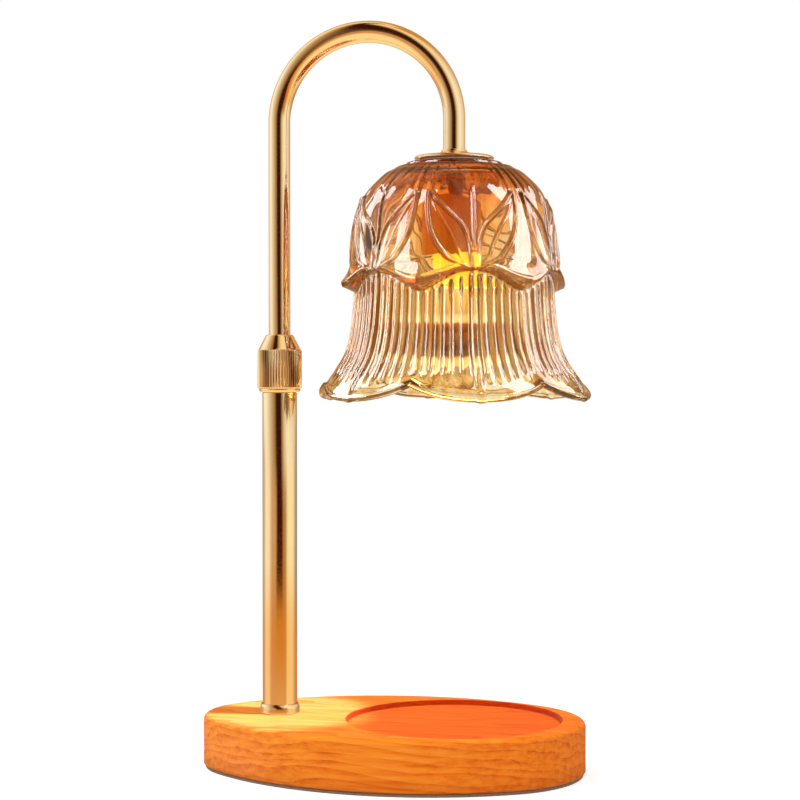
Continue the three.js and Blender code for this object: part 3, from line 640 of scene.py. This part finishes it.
def gooseneck():
    sides, bends = 72, 96
    stations = [(POLE_X, arm_low.z, 0.0)]
    stations += [(POLE_X, BEND_FOOT - d * MM, 0.0) for d in (40, 20, 8, 2)]
    for i in range(bends + 1):
        turn = math.pi * i / bends
        stations.append(
            (
                POLE_X + BEND_RADIUS - BEND_RADIUS * math.cos(turn),
                BEND_FOOT + BEND_RADIUS * math.sin(turn),
                turn,
            )
        )
    stations.append((SHADE_X, ARM_END, math.pi))
    loops = [(x, z, turn, ARM_RADIUS) for x, z, turn in stations]
    loops += [(x, z, turn, ARM_RADIUS - 1 * MM) for x, z, turn in reversed(stations)]
    points = []
    for x, z, turn, radius in loops:
        out = (-math.cos(turn), math.sin(turn))
        for j in range(sides):
            angle = 2 * math.pi * j / sides
            away = radius * math.cos(angle)
            points.append((x + out[0] * away, -radius * math.sin(angle), z + out[1] * away))
    made = mesh_piece("bent_tube", points, grid_faces(len(loops), sides, True), GOLD, 50)
    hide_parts("gooseneck")
    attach(made, "arm")


def shade_fittings():
    at_shade = (SHADE_X, 0)
    flange_low, flange_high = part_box("neck_flange")
    cap_low, cap_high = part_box("shade_cap")
    flange_radius = (flange_high.x - flange_low.x) / 2
    cap_radius = (cap_high.x - cap_low.x) / 2
    hole = 2.8 * MM
    flange_top = ARM_END - 0.1 * MM
    fine_turned(
        "neck_flange",
        "neck_collar",
        [
            (hole, flange_low.z),
            (flange_radius, flange_low.z),
            (flange_radius, flange_low.z + 0.7 * MM),
            (flange_radius - 1.2 * MM, flange_top - 0.3 * MM),
            (ARM_RADIUS + 1.0 * MM, flange_top),
            (ARM_RADIUS + 0.8 * MM, flange_top + 1.2 * MM),
            (ARM_RADIUS + 0.1 * MM, flange_top + 1.2 * MM),
            (ARM_RADIUS + 0.1 * MM, flange_top),
            (hole, flange_top),
        ],
        GOLD,
        "arm",
        "gold",
        place=at_shade,
    )
    fine_turned(
        "shade_cap",
        "shade_cap_disc",
        [
            (hole, cap_low.z),
            (cap_radius, cap_low.z),
            (cap_radius, cap_high.z - 0.6 * MM),
            (cap_radius - 1.2 * MM, cap_high.z),
            (hole, cap_high.z),
        ],
        GOLD,
        "arm",
        "gold",
        place=at_shade,
        sides=160,
        edge=0.4 * MM,
    )
    cup_low, cup_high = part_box("holder_cup")
    radius = (cup_high.x - cup_low.x) / 2
    wall = 0.9 * MM
    fine_turned(
        "holder_cup",
        "holder_shell",
        [
            (radius - wall, cup_low.z),
            (radius, cup_low.z),
            (radius, cup_high.z - 2 * MM),
            (radius - 2 * MM, cup_high.z),
            (hole, cup_high.z),
            (hole, cup_high.z - wall),
            (radius - 2 * MM - wall / 2, cup_high.z - wall),
            (radius - wall, cup_high.z - 2 * MM - wall / 2),
        ],
        COPPER,
        "arm",
        "brass",
        place=at_shade,
        edge=0.3 * MM,
    )


# Glass shade. Bearing is 0 at a stem and 1 half way between two stems, and depths are
# measured down from the top of the glass.


PETALS = 6
FLUTES = 12
FLUTE_COLUMNS = 10
STEM_ANGLE = math.radians(-9.2)
CROWN_HOLE = 2.8 * MM
GLASS_WALL = 3 * MM
CROWN_RADIUS = 24 * MM
CROWN_THICKNESS = 4 * MM
CROWN_ROUNDING = 1.6 * MM
WAIST_RADIUS = 48.3 * MM
PETAL_DEPTH = 54.2 * MM
PETAL_TIP_DROP = 6.2 * MM
PETAL_FLARE_POWER = 1.4
PETAL_HANG = (0.18, 1.0)
PETAL_EDGE_RADIUS = 50.4 * MM
PETAL_TIP_RADIUS = 55.6 * MM
PETAL_LIP = 1.3 * MM
PETAL_UNDERCUT = 3.6 * MM
STEM_UNDERCUT = 0.6 * MM
PETAL_BULGE = 2.6 * MM
STEM_GROOVE = 0.9 * MM
FLUTE_DEPTH = 1.1 * MM
FLUTE_WAVES = [(17, 0.25), (29, 0.2)]  # waves round the shade, and how far each makes depth uneven
RIM_RADIUS = 67 * MM
SHADE_HEIGHT = shade_high.z - shade_low.z
RIM_RISE = 7.2 * MM
RIM_RISE_POWER = 2.3
RIM_KNOB = 0.5 * MM
RIM_BEAD = 0.6 * MM
DOME_RADIUS_SHARES = [0, 0.3, 0.54, 0.74, 0.87, 0.95, 1, 1.05]
DOME_DEPTH_SHARES = [0, 0.07, 0.155, 0.25, 0.36, 0.5, 0.67, 0.84]
SKIRT_RADIUS_SHARES = [0, 0.05, 0.14, 0.3, 0.56, 0.84, 1]
SKIRT_DEPTH_SHARES = [0, 0.28, 0.49, 0.645, 0.77, 0.885, 1]
LEAF_TOP_SHARE = 0.28
LEAF_CLIMBS = [0, 0.13, 0.3, 0.5, 0.75, 1]
LEAF_INNER_BEARINGS = [0.05, 0.06, 0.08, 0.19, 0.52, 0.86]
LEAF_OUTER_BEARINGS = [0.08, 0.41, 0.6, 0.76, 0.85, 0.88]
LEAF_LINE = 0.05

# How high the relief stands
LEAF_OUTLINE = 1.3 * MM
LEAF_VEIN = 0.35 * MM
LEAF_ROOF = 0.5 * MM
FAN_WAVE = 0.3 * MM
FAN_SPINE = 0.8 * MM
PETAL_STEM = 1.2 * MM
PETAL_EDGE_BEAD = 0.6 * MM
CROWN_GROOVE = 0.6 * MM
SKIRT_STEM = 0.9 * MM


def along(depths, radii, depth):
    """A smooth curve through shares, with each point's slope taken from its neighbours."""
    x, y = np.array(depths, float), np.array(radii, float)
    slope = np.gradient(y, x)
    depth = np.clip(depth, x[0], x[-1])
    i = np.clip(np.searchsorted(x, depth) - 1, 0, len(x) - 2)
    h = x[i + 1] - x[i]
    t = (depth - x[i]) / h
    return (
        y[i] * (1 + 2 * t) * (1 - t) ** 2
        + slope[i] * h * t * (1 - t) ** 2
        + y[i + 1] * t**2 * (3 - 2 * t)
        + slope[i + 1] * h * t**2 * (t - 1)
    )


def smooth(value, low, high):
    t = np.clip((value - low) / (high - low), 0, 1)
    return t * t * (3 - 2 * t)


def ridge(distance, half_width):
    """A rounded ridge across a distance."""
    return np.clip(1 - (distance / half_width) ** 2, 0, 1) ** 1.5


def dome_radius(share):
    widening = along(DOME_DEPTH_SHARES, DOME_RADIUS_SHARES, share)
    return CROWN_RADIUS + widening * (WAIST_RADIUS - CROWN_RADIUS)


def petal_edge(bearing):
    return PETAL_DEPTH + PETAL_TIP_DROP * smooth(bearing, *PETAL_HANG)


def petal_foot(bearing):
    return petal_edge(bearing) + STEM_UNDERCUT + (PETAL_UNDERCUT - STEM_UNDERCUT) * bearing


def rim_edge(bearing):
    knob = RIM_KNOB * (1 - ridge(bearing, 0.1))
    return SHADE_HEIGHT - knob - (RIM_RISE - RIM_KNOB) * bearing**RIM_RISE_POWER


def skirt_radius(depth):
    top = PETAL_DEPTH + STEM_UNDERCUT
    share = (depth - top) / (SHADE_HEIGHT - top)
    widening = along(SKIRT_DEPTH_SHARES, SKIRT_RADIUS_SHARES, share)
    return WAIST_RADIUS + widening * (RIM_RADIUS - WAIST_RADIUS)


def leaf_relief(bearing, share):
    """Two leaves beside each stem, with a raised outline and a vein, and soft ridges above."""
    climb = (1 - share) / (1 - LEAF_TOP_SHARE)
    inner = along(LEAF_CLIMBS, LEAF_INNER_BEARINGS, climb)
    outer = along(LEAF_CLIMBS, LEAF_OUTER_BEARINGS, climb)
    on = smooth(climb, 0, 0.02) * (1 - smooth(climb, 0.985, 1.0))
    middle, half = (inner + outer) / 2, (outer - inner) / 2
    outline = np.maximum(ridge(bearing - inner, LEAF_LINE), ridge(bearing - outer, LEAF_LINE))
    vein = ridge(bearing - middle, 0.6 * LEAF_LINE) * smooth(half, 0.08, 0.16)
    roof = np.clip(1 - ((bearing - middle) / half) ** 2, 0, 1)
    leaf = on * (LEAF_OUTLINE * outline + LEAF_VEIN * vein + LEAF_ROOF * roof)
    fall = smooth(share, LEAF_TOP_SHARE - 0.02, LEAF_TOP_SHARE + 0.1)
    above = smooth(share, 0.02, 0.1) * (1 - fall)
    spine = ridge(bearing - LEAF_INNER_BEARINGS[-1], 0.1)
    fan = FAN_WAVE * np.cos(3 * math.pi * bearing) ** 2 + FAN_SPINE * spine
    return leaf + above * fan


def dome_row(bearing, share):
    """A row of the outside between the crown and the petals' edge, as radius and depth."""
    body = smooth(share, 0.08, 0.65)
    puff = PETAL_BULGE * smooth(bearing, 0, 0.85) - STEM_GROOVE
    plain = dome_radius(share) + puff * body * (1 - 0.5 * smooth(share, 0.7, 1))
    edge = PETAL_EDGE_RADIUS + (PETAL_TIP_RADIUS - PETAL_EDGE_RADIUS) * bearing**PETAL_FLARE_POWER
    flare = smooth(share, 0.78, 1.0) ** 1.3
    stem = PETAL_STEM * ridge(bearing, 0.055) * smooth(share, 0.25, 0.4)
    lip = PETAL_EDGE_BEAD * ridge(share - 0.97, 0.03) * smooth(bearing, 0.05, 0.3)
    groove = CROWN_GROOVE * ridge(share - 0.06, 0.025)
    relief = leaf_relief(bearing, share) * (1 - 0.5 * flare) - groove
    return plain + flare * (edge - plain) + relief + stem + lip, share * petal_edge(bearing)


def skirt_row(bearing, flute, share):
    top = petal_foot(bearing)
    depth = top + share * (rim_edge(bearing) - top)
    rib = np.abs(np.cos(math.pi * flute)) ** 0.8
    round_it = 2 * math.pi * flute / (PETALS * FLUTES)
    uneven = 1 + sum(height * np.sin(waves * round_it) for waves, height in FLUTE_WAVES)
    beam = ridge(bearing, 0.07)
    fade = smooth(share, 0.0, 0.05) * (1 - smooth(share, 0.74, 0.86 + 0.05 * rib))
    flutes = FLUTE_DEPTH * uneven * fade * (rib - 0.55) * (1 - beam)
    stem = SKIRT_STEM * beam * (1 - smooth(share, 0.85, 0.97))
    return skirt_radius(depth) + flutes + stem, depth


def shade_rows(bearing, flute):
    """Rows from the hole in the crown over the outside to the rim and back up the inside."""
    flat = np.ones_like(bearing)
    rows = [(CROWN_HOLE * flat, 0 * flat)]
    for turn in np.linspace(0, math.pi / 2, 5):
        rows.append(
            (
                (CROWN_RADIUS - CROWN_ROUNDING * (1 - math.sin(turn))) * flat,
                CROWN_ROUNDING * (1 - math.cos(turn)) * flat,
            )
        )
    first = CROWN_ROUNDING / PETAL_DEPTH
    for share in np.linspace(first + 0.01, 1, 144):
        rows.append(dome_row(bearing, share))
    edge_radius, edge_depth = rows[-1]
    for turn in np.linspace(0, math.pi / 2, 7)[1:]:
        lower = edge_depth + 0.8 * PETAL_LIP * math.sin(turn) * bearing
        rows.append((edge_radius - PETAL_LIP * (1 - math.cos(turn)), lower))
    under_radius, under_depth = rows[-1]
    foot = petal_foot(bearing)
    foot_radius = skirt_radius(foot)
    for share in (0.3, 0.6, 0.85, 1.0):
        radius = under_radius + share * (foot_radius - under_radius)
        rows.append((radius, under_depth + share * (foot - under_depth)))
    for share in np.linspace(0.012, 0.95, 90):
        rows.append(skirt_row(bearing, flute, share))
    edge = rim_edge(bearing)
    middle = skirt_radius(edge) - GLASS_WALL / 2 + 0.2 * MM
    bead = (GLASS_WALL + RIM_BEAD) / 2
    for turn in np.linspace(-0.15, 1.1 * math.pi - 0.15, 15):
        rows.append((middle + bead * math.cos(turn), edge - bead + bead * math.sin(turn)))
    for share in np.linspace(0.93, 0.02, 40):
        depth = foot + share * (edge - foot)
        rows.append((skirt_radius(depth) - GLASS_WALL, depth))
    for share in np.linspace(1.0, 0.12, 40):
        depth = max(share * PETAL_DEPTH + 0.6 * GLASS_WALL, CROWN_THICKNESS)
        rows.append(((min(dome_radius(share), WAIST_RADIUS) - GLASS_WALL) * flat, depth * flat))
    rows.append(((CROWN_RADIUS - 2 * MM) * flat, CROWN_THICKNESS * flat))
    rows.append((CROWN_HOLE * flat, CROWN_THICKNESS * flat))
    return rows


def glass_shade():
    columns = PETALS * FLUTES * FLUTE_COLUMNS
    column = np.arange(columns)
    turn = column / (FLUTES * FLUTE_COLUMNS) % 1
    bearing = 1 - np.abs(1 - 2 * turn)
    flute = column / FLUTE_COLUMNS
    angle = STEM_ANGLE + 2 * math.pi * column / columns
    rows = shade_rows(bearing, flute)
    points = np.vstack(
        [np.c_[SHADE_X + r * np.cos(angle), r * np.sin(angle), GLASS_TOP - d] for r, d in rows]
    )
    faces = [f[::-1] for f in grid_faces(len(rows), columns, True)]
    made = mesh_piece("pressed_glass_shade", points, faces, GLASS, 60)
    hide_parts("glass_shade")
    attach(made, "arm")
    return made


# Bulb


def bulb():
    low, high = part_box("bulb_reflector")
    neck_low, neck_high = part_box("bulb_neck")
    radius = (high.x - low.x) / 2
    neck = (neck_high.x - neck_low.x) / 2
    wall = 1.2 * MM
    foot = low.z + 4.5 * MM
    reach = high.z - foot
    bowl = []
    for t in np.linspace(0, 1, 24):
        bowl.append((radius * (1 - 0.56 * t**1.9), foot + t * reach))
    inside = [(r - wall, z) for r, z in reversed(bowl)]
    outline = [(radius - wall, low.z), (radius, low.z), *bowl, *inside]
    fine_turned(
        "bulb_reflector",
        "bulb_bowl",
        outline,
        bulb_finish(low.z, high.z),
        "bulb",
        "bulb_glass",
        place=(SHADE_X, 0),
        edge=0.2 * MM,
    )
    lens_low, lens_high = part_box("bulb_lens")
    lens_radius = (lens_high.x - lens_low.x) / 2
    lens = fine_turned(
        "bulb_lens",
        "bulb_front_lens",
        [(0, lens_low.z), (lens_radius, lens_low.z), (lens_radius, lens_high.z), (0, lens_high.z)],
        lens_glass("glowing_lens", (1.0, 0.72, 0.3), 4.0),
        "bulb",
        "bulb_glass",
        place=(SHADE_X, 0),
        edge=0.3 * MM,
    )
    fine_turned(
        "bulb_neck",
        "bulb_ceramic_neck",
        [
            (0, neck_low.z),
            (neck, neck_low.z),
            (neck, neck_high.z - 1 * MM),
            (neck - 1 * MM, neck_high.z),
            (0, neck_high.z),
        ],
        lens_glass("glowing_neck", (1.0, 0.58, 0.06), 0.9),
        "bulb",
        "bulb_glass",
        place=(SHADE_X, 0),
        edge=0.4 * MM,
    )
    return lens


CARRIED_IN_BASE = {
    "bottom_cover": BLACK,
    "cover_screw_1": STEEL,
    "cover_screw_2": STEEL,
    "cover_screw_3": STEEL,
    "cord_grommet": BLACK,
    "pole_anchor": BRASS,
    "pole_washer": STEEL,
    "pole_nut": STEEL,
}
CARRIED = {
    "collet": BRASS,
    "guide_bush": NYLON,
    "guide_clip_lower": STEEL,
    "guide_clip_upper": STEEL,
    "neck_nipple": BRASS,
    "upper_gasket": SILICONE,
    "lower_gasket": SILICONE,
    "shade_washer": BRASS,
    "shade_nut": BRASS,
    "holder_nut": STEEL,
    "holder_ceramic": CERAMIC,
    "holder_screw_1": STEEL,
    "holder_screw_2": STEEL,
    "holder_contact_1": BRASS,
    "holder_contact_2": BRASS,
    "bulb_capsule": lens_glass("glowing_capsule", (1.0, 0.8, 0.45), 6.0),
    "bulb_pin_1": STEEL,
    "bulb_pin_2": STEEL,
}


def carry_over():
    """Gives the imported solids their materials. The tube's foot mirrors the studio, not the base."""
    for name, material in (CARRIED_IN_BASE | CARRIED).items():
        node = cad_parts[name]
        node.data.materials.clear()
        node.data.materials.append(material)
        node.visible_glossy = name not in CARRIED_IN_BASE


# Studio


CAMERA_BEARING = math.atan2(CAMERA_PLACE[1], CAMERA_PLACE[0] - (POLE_X + SHADE_X) / 2)

# What polished metal mirrors: degrees round from the camera, and a colour. The first is for
# what is below the camera's level, the second for what is above it.
LOW_REFLECTIONS = [
    (-180, (0.55, 0.48, 0.4)),
    (-150, (0.6, 0.5, 0.42)),
    (-130, (0.5, 0.42, 0.34)),
    (-116, (0.65, 0.58, 0.5)),
    (-98, (0.98, 0.94, 0.85)),
    (-70, (0.97, 0.85, 0.7)),
    (-50, (0.63, 0.4, 0.22)),
    (-24, (0.6, 0.36, 0.19)),
    (-11, (0.045, 0.004, 0)),
    (18, (0.045, 0.004, 0)),
    (28, (0.42, 0.2, 0.09)),
    (43, (0.48, 0.28, 0.1)),
    (58, (0.98, 0.88, 0.56)),
    (98, (0.96, 0.92, 0.72)),
    (125, (0.5, 0.44, 0.38)),
    (145, (0.3, 0.26, 0.22)),
    (180, (0.55, 0.48, 0.4)),
]
HIGH_REFLECTIONS = [
    (-180, (0.6, 0.3, 0.12)),
    (-140, (0.75, 0.42, 0.2)),
    (-118, (1.0, 1.05, 1.05)),
    (-90, (0.97, 0.95, 0.9)),
    (-65, (0.72, 0.62, 0.45)),
    (-45, (0.5, 0.37, 0.24)),
    (-30, (0.34, 0.2, 0.1)),
    (-17, (0.035, 0.006, 0.001)),
    (11, (0.035, 0.006, 0.001)),
    (22, (0.42, 0.3, 0.18)),
    (36, (0.8, 0.68, 0.5)),
    (55, (1.0, 0.98, 0.85)),
    (85, (0.9, 0.86, 0.78)),
    (118, (0.72, 0.68, 0.62)),
    (140, (0.65, 0.4, 0.2)),
    (180, (0.6, 0.3, 0.12)),
]
LEAN = 20  # how many degrees round the reflections lean at 45 degrees up or down
DARK_SIDE = 55  # half the width of what glass sees dark behind the camera, in degrees
CARD_PERIOD = math.radians(45)
CARDS_START = math.radians(5)
FLOOR_GLOW = 0.65  # brings the floor to white for the camera alone

# Degrees over the horizon between which what is mirrored or seen through glass changes
LOW_TO_HIGH = (-1, 2.5)
WARM_FOOT = (-9.5, -6)
WOOD_GLOW = (-9.8, -7.5)
PALE_GROUND = (-32, -13)
WARM_ZENITH = (30, 60)
DARK_SIDE_FOOT = (-14, -6)
DARK_CEILING = (14, 36)


def studio_world():
    """White for the camera, with cards and softboxes that metal and glass show."""
    world = bpy.data.worlds.new("studio")
    world.use_nodes = True
    bpy.context.scene.world = world
    made = Nodes(world.node_tree)
    made.tree.nodes.clear()
    direction = made.node("ShaderNodeTexCoord").outputs["Generated"]
    axes = made.node("ShaderNodeSeparateXYZ", {"Vector": direction}).outputs

    def rising(heights, *ends, **settings):
        """How far a direction is between two heights over the horizon."""
        low, high = (math.sin(math.radians(height)) for height in heights)
        return made.span(axes["Z"], low, high, *ends, **settings)

    bearing = made.math("ARCTAN2", axes["Y"], axes["X"])
    from_camera = made.math("DIVIDE", made.math("SUBTRACT", bearing, CAMERA_BEARING), 2 * math.pi)
    steepness = made.math("TANGENT", made.math("ARCSINE", made.math("ABSOLUTE", axes["Z"])))
    lean = made.math("MINIMUM", made.math("MULTIPLY", steepness, LEAN / 360), 0.3)
    where = made.math("FRACT", made.math("ADD", made.math("ADD", from_camera, 2.5), lean))
    low, high = (
        made.ramp(where, [((angle + 180) / 360, colour) for angle, colour in reflections])
        for reflections in (LOW_REFLECTIONS, HIGH_REFLECTIONS)
    )
    foot = rising(WARM_FOOT)
    warm = made.times(1.0, low, made.mix(foot, (1, 0.72, 0.45, 1), (1, 1, 1, 1)))
    ground = rising(WOOD_GLOW, 1.0, 0.0)
    warm = made.blend("LIGHTEN", ground, warm, (0.68, 0.26, 0.03, 1))
    warm = made.mix(rising(PALE_GROUND), (0.98, 0.84, 0.5, 1), warm)
    rise = rising(LOW_TO_HIGH, kind="SMOOTHSTEP")
    zenith = rising(WARM_ZENITH)
    mirrored = made.times(zenith, made.mix(rise, warm, high), (1, 0.84, 0.56, 1))
    turn = made.math("ADD", bearing, 2 * math.pi + CARDS_START)
    cards = made.math("FRACT", made.math("DIVIDE", turn, CARD_PERIOD))
    card = made.window(cards, 0.6, 0.94, 0.05)
    above = made.window(axes["Z"], *(math.sin(math.radians(h)) for h in DARK_CEILING), 0.08)
    shaded = made.math("MAXIMUM", card, above)
    through = made.mix(shaded, (1.08, 1.05, 1, 1), (0.3, 0.12, 0.035, 1))
    round_it = made.math("FRACT", made.math("ADD", from_camera, 2.5))
    dark_side = made.window(round_it, 0.5 - DARK_SIDE / 360, 0.5 + DARK_SIDE / 360, 0.04)
    dark_side = made.math("MULTIPLY", dark_side, rising(DARK_SIDE_FOOT))
    through = made.mix(dark_side, through, (0.12, 0.04, 0.01, 1))
    light = made.node("ShaderNodeLightPath").outputs
    seen = made.mix(light["Is Glossy Ray"], (0.62, 0.62, 0.62, 1), mirrored)
    seen = made.mix(light["Is Transmission Ray"], seen, through)
    seen = made.mix(light["Is Camera Ray"], seen, (1, 1, 1, 1))
    background = made.node("ShaderNodeBackground", {"Color": seen, "Strength": 1.0})
    output = made.node("ShaderNodeOutputWorld")
    made.tree.links.new(background.outputs[0], output.inputs["Surface"])


def floor():
    """White floor that keeps shadows. Polished metal and glass show the cards instead of it."""
    pale = (0.6, 0.6, 0.6, 1)
    made = Finish("white_floor", Base_Color=pale, Roughness=0.9, Specular_IOR_Level=0.0)
    light = made.node("ShaderNodeLightPath").outputs
    made.shader.inputs["Emission Color"].default_value = (1, 1, 1, 1)
    made.link(made.math("MULTIPLY", light["Is Camera Ray"], FLOOR_GLOW), "Emission Strength")
    clear = made.node("ShaderNodeBsdfTransparent").outputs[0]
    shaders = {0: light["Is Glossy Ray"], 1: made.shader.outputs[0], 2: clear}
    mixed = made.node("ShaderNodeMixShader", shaders)
    made.tree.links.new(mixed.outputs[0], made.tree.nodes["Material Output"].inputs["Surface"])
    side = 6.0
    corners = [(-side, -side, 0), (side, -side, 0), (side, side, 0), (-side, side, 0)]
    made_floor = mesh_piece("floor", corners, [(0, 1, 2, 3)], made.material)
    made_floor.location.z = -0.05 * MM


def area_light(name, place, aim, size, power, only=None):
    """A softbox that lights everything, or only one piece."""
    data = bpy.data.lights.new(name, "AREA")
    data.shape = "RECTANGLE"
    data.size, data.size_y = size
    data.energy = power
    made = bpy.data.objects.new(name, data)
    made.location = place
    made.rotation_euler = (Vector(aim) - Vector(place)).to_track_quat("-Z", "Y").to_euler()
    made.visible_camera = False
    made.visible_transmission = False
    made.visible_glossy = only is not None
    bpy.context.scene.collection.objects.link(made)
    if only:
        lit = bpy.data.collections.new(name)
        lit.objects.link(only)
        made.light_linking.receiver_collection = lit


def glass_softbox(name, shade, bearing, rise, size, power):
    """A tall softbox whose reflection stands on the petals."""
    middle = Vector((SHADE_X, 0, 0.25))
    angle, rise = math.radians(bearing), math.radians(rise)
    level = math.cos(rise)
    away = Vector((math.cos(angle) * level, math.sin(angle) * level, math.sin(rise)))
    area_light(name, middle + 1.2 * away, middle, size, power, shade)


def bulb_light(lens, name, aim, power, spread, blend, colour):
    """Warm light that leaves the bulb's front, or its glow from under the rim."""
    place = Vector((SHADE_X, 0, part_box("bulb_lens")[0].z - 3 * MM))
    data = bpy.data.lights.new(name, "SPOT")
    data.energy = power
    data.color = colour
    data.spot_size = math.radians(spread)
    data.spot_blend = blend
    data.shadow_soft_size = 8 * MM
    made = bpy.data.objects.new(name, data)
    made.location = place
    made.rotation_euler = (Vector(aim) - place).to_track_quat("-Z", "Y").to_euler()
    made.visible_glossy = False
    bpy.context.scene.collection.objects.link(made)
    made.parent = lens


SPILL_COLOUR = (0.95, 1.0, 4.2)  # turns the orange wood pale yellow

camera()
wood_block()
base_pad()
pole()
lock_nut()
gooseneck()
shade_fittings()
shade = glass_shade()
lens = bulb()
carry_over()
studio_world()
floor()
area_light("key", (-0.7, -0.9, 1.1), (0, 0, 0.15), (0.6, 0.6), 9)
area_light("fill", (0.9, -0.7, 0.7), (0, 0, 0.15), (0.6, 0.6), 3)
glass_softbox("left_softbox", shade, -142.6, 32, (0.55, 1.2), 24)
glass_softbox("right_softbox", shade, -1.6, 32, (0.55, 1.2), 24)
glass_softbox("far_left_softbox", shade, 160, 18, (0.6, 1.0), 14)
glass_softbox("far_right_softbox", shade, 38, 18, (0.5, 1.0), 8)
bulb_light(lens, "bulb_beam", (SHADE_X, 0, 0), 0.5, 100, 1.0, (1.0, 0.66, 0.22))
bulb_light(lens, "bulb_spill", (POLE_X - 16 * MM, 0, wood_high.z), 3.1, 36, 0.3, SPILL_COLOUR)
far_end = (wood_low.x + 4 * MM, 0, wood_high.z)
bulb_light(lens, "bulb_far_spill", far_end, 2.4, 26, 1.0, SPILL_COLOUR)

bpy.context.scene.view_settings.view_transform = "Standard"
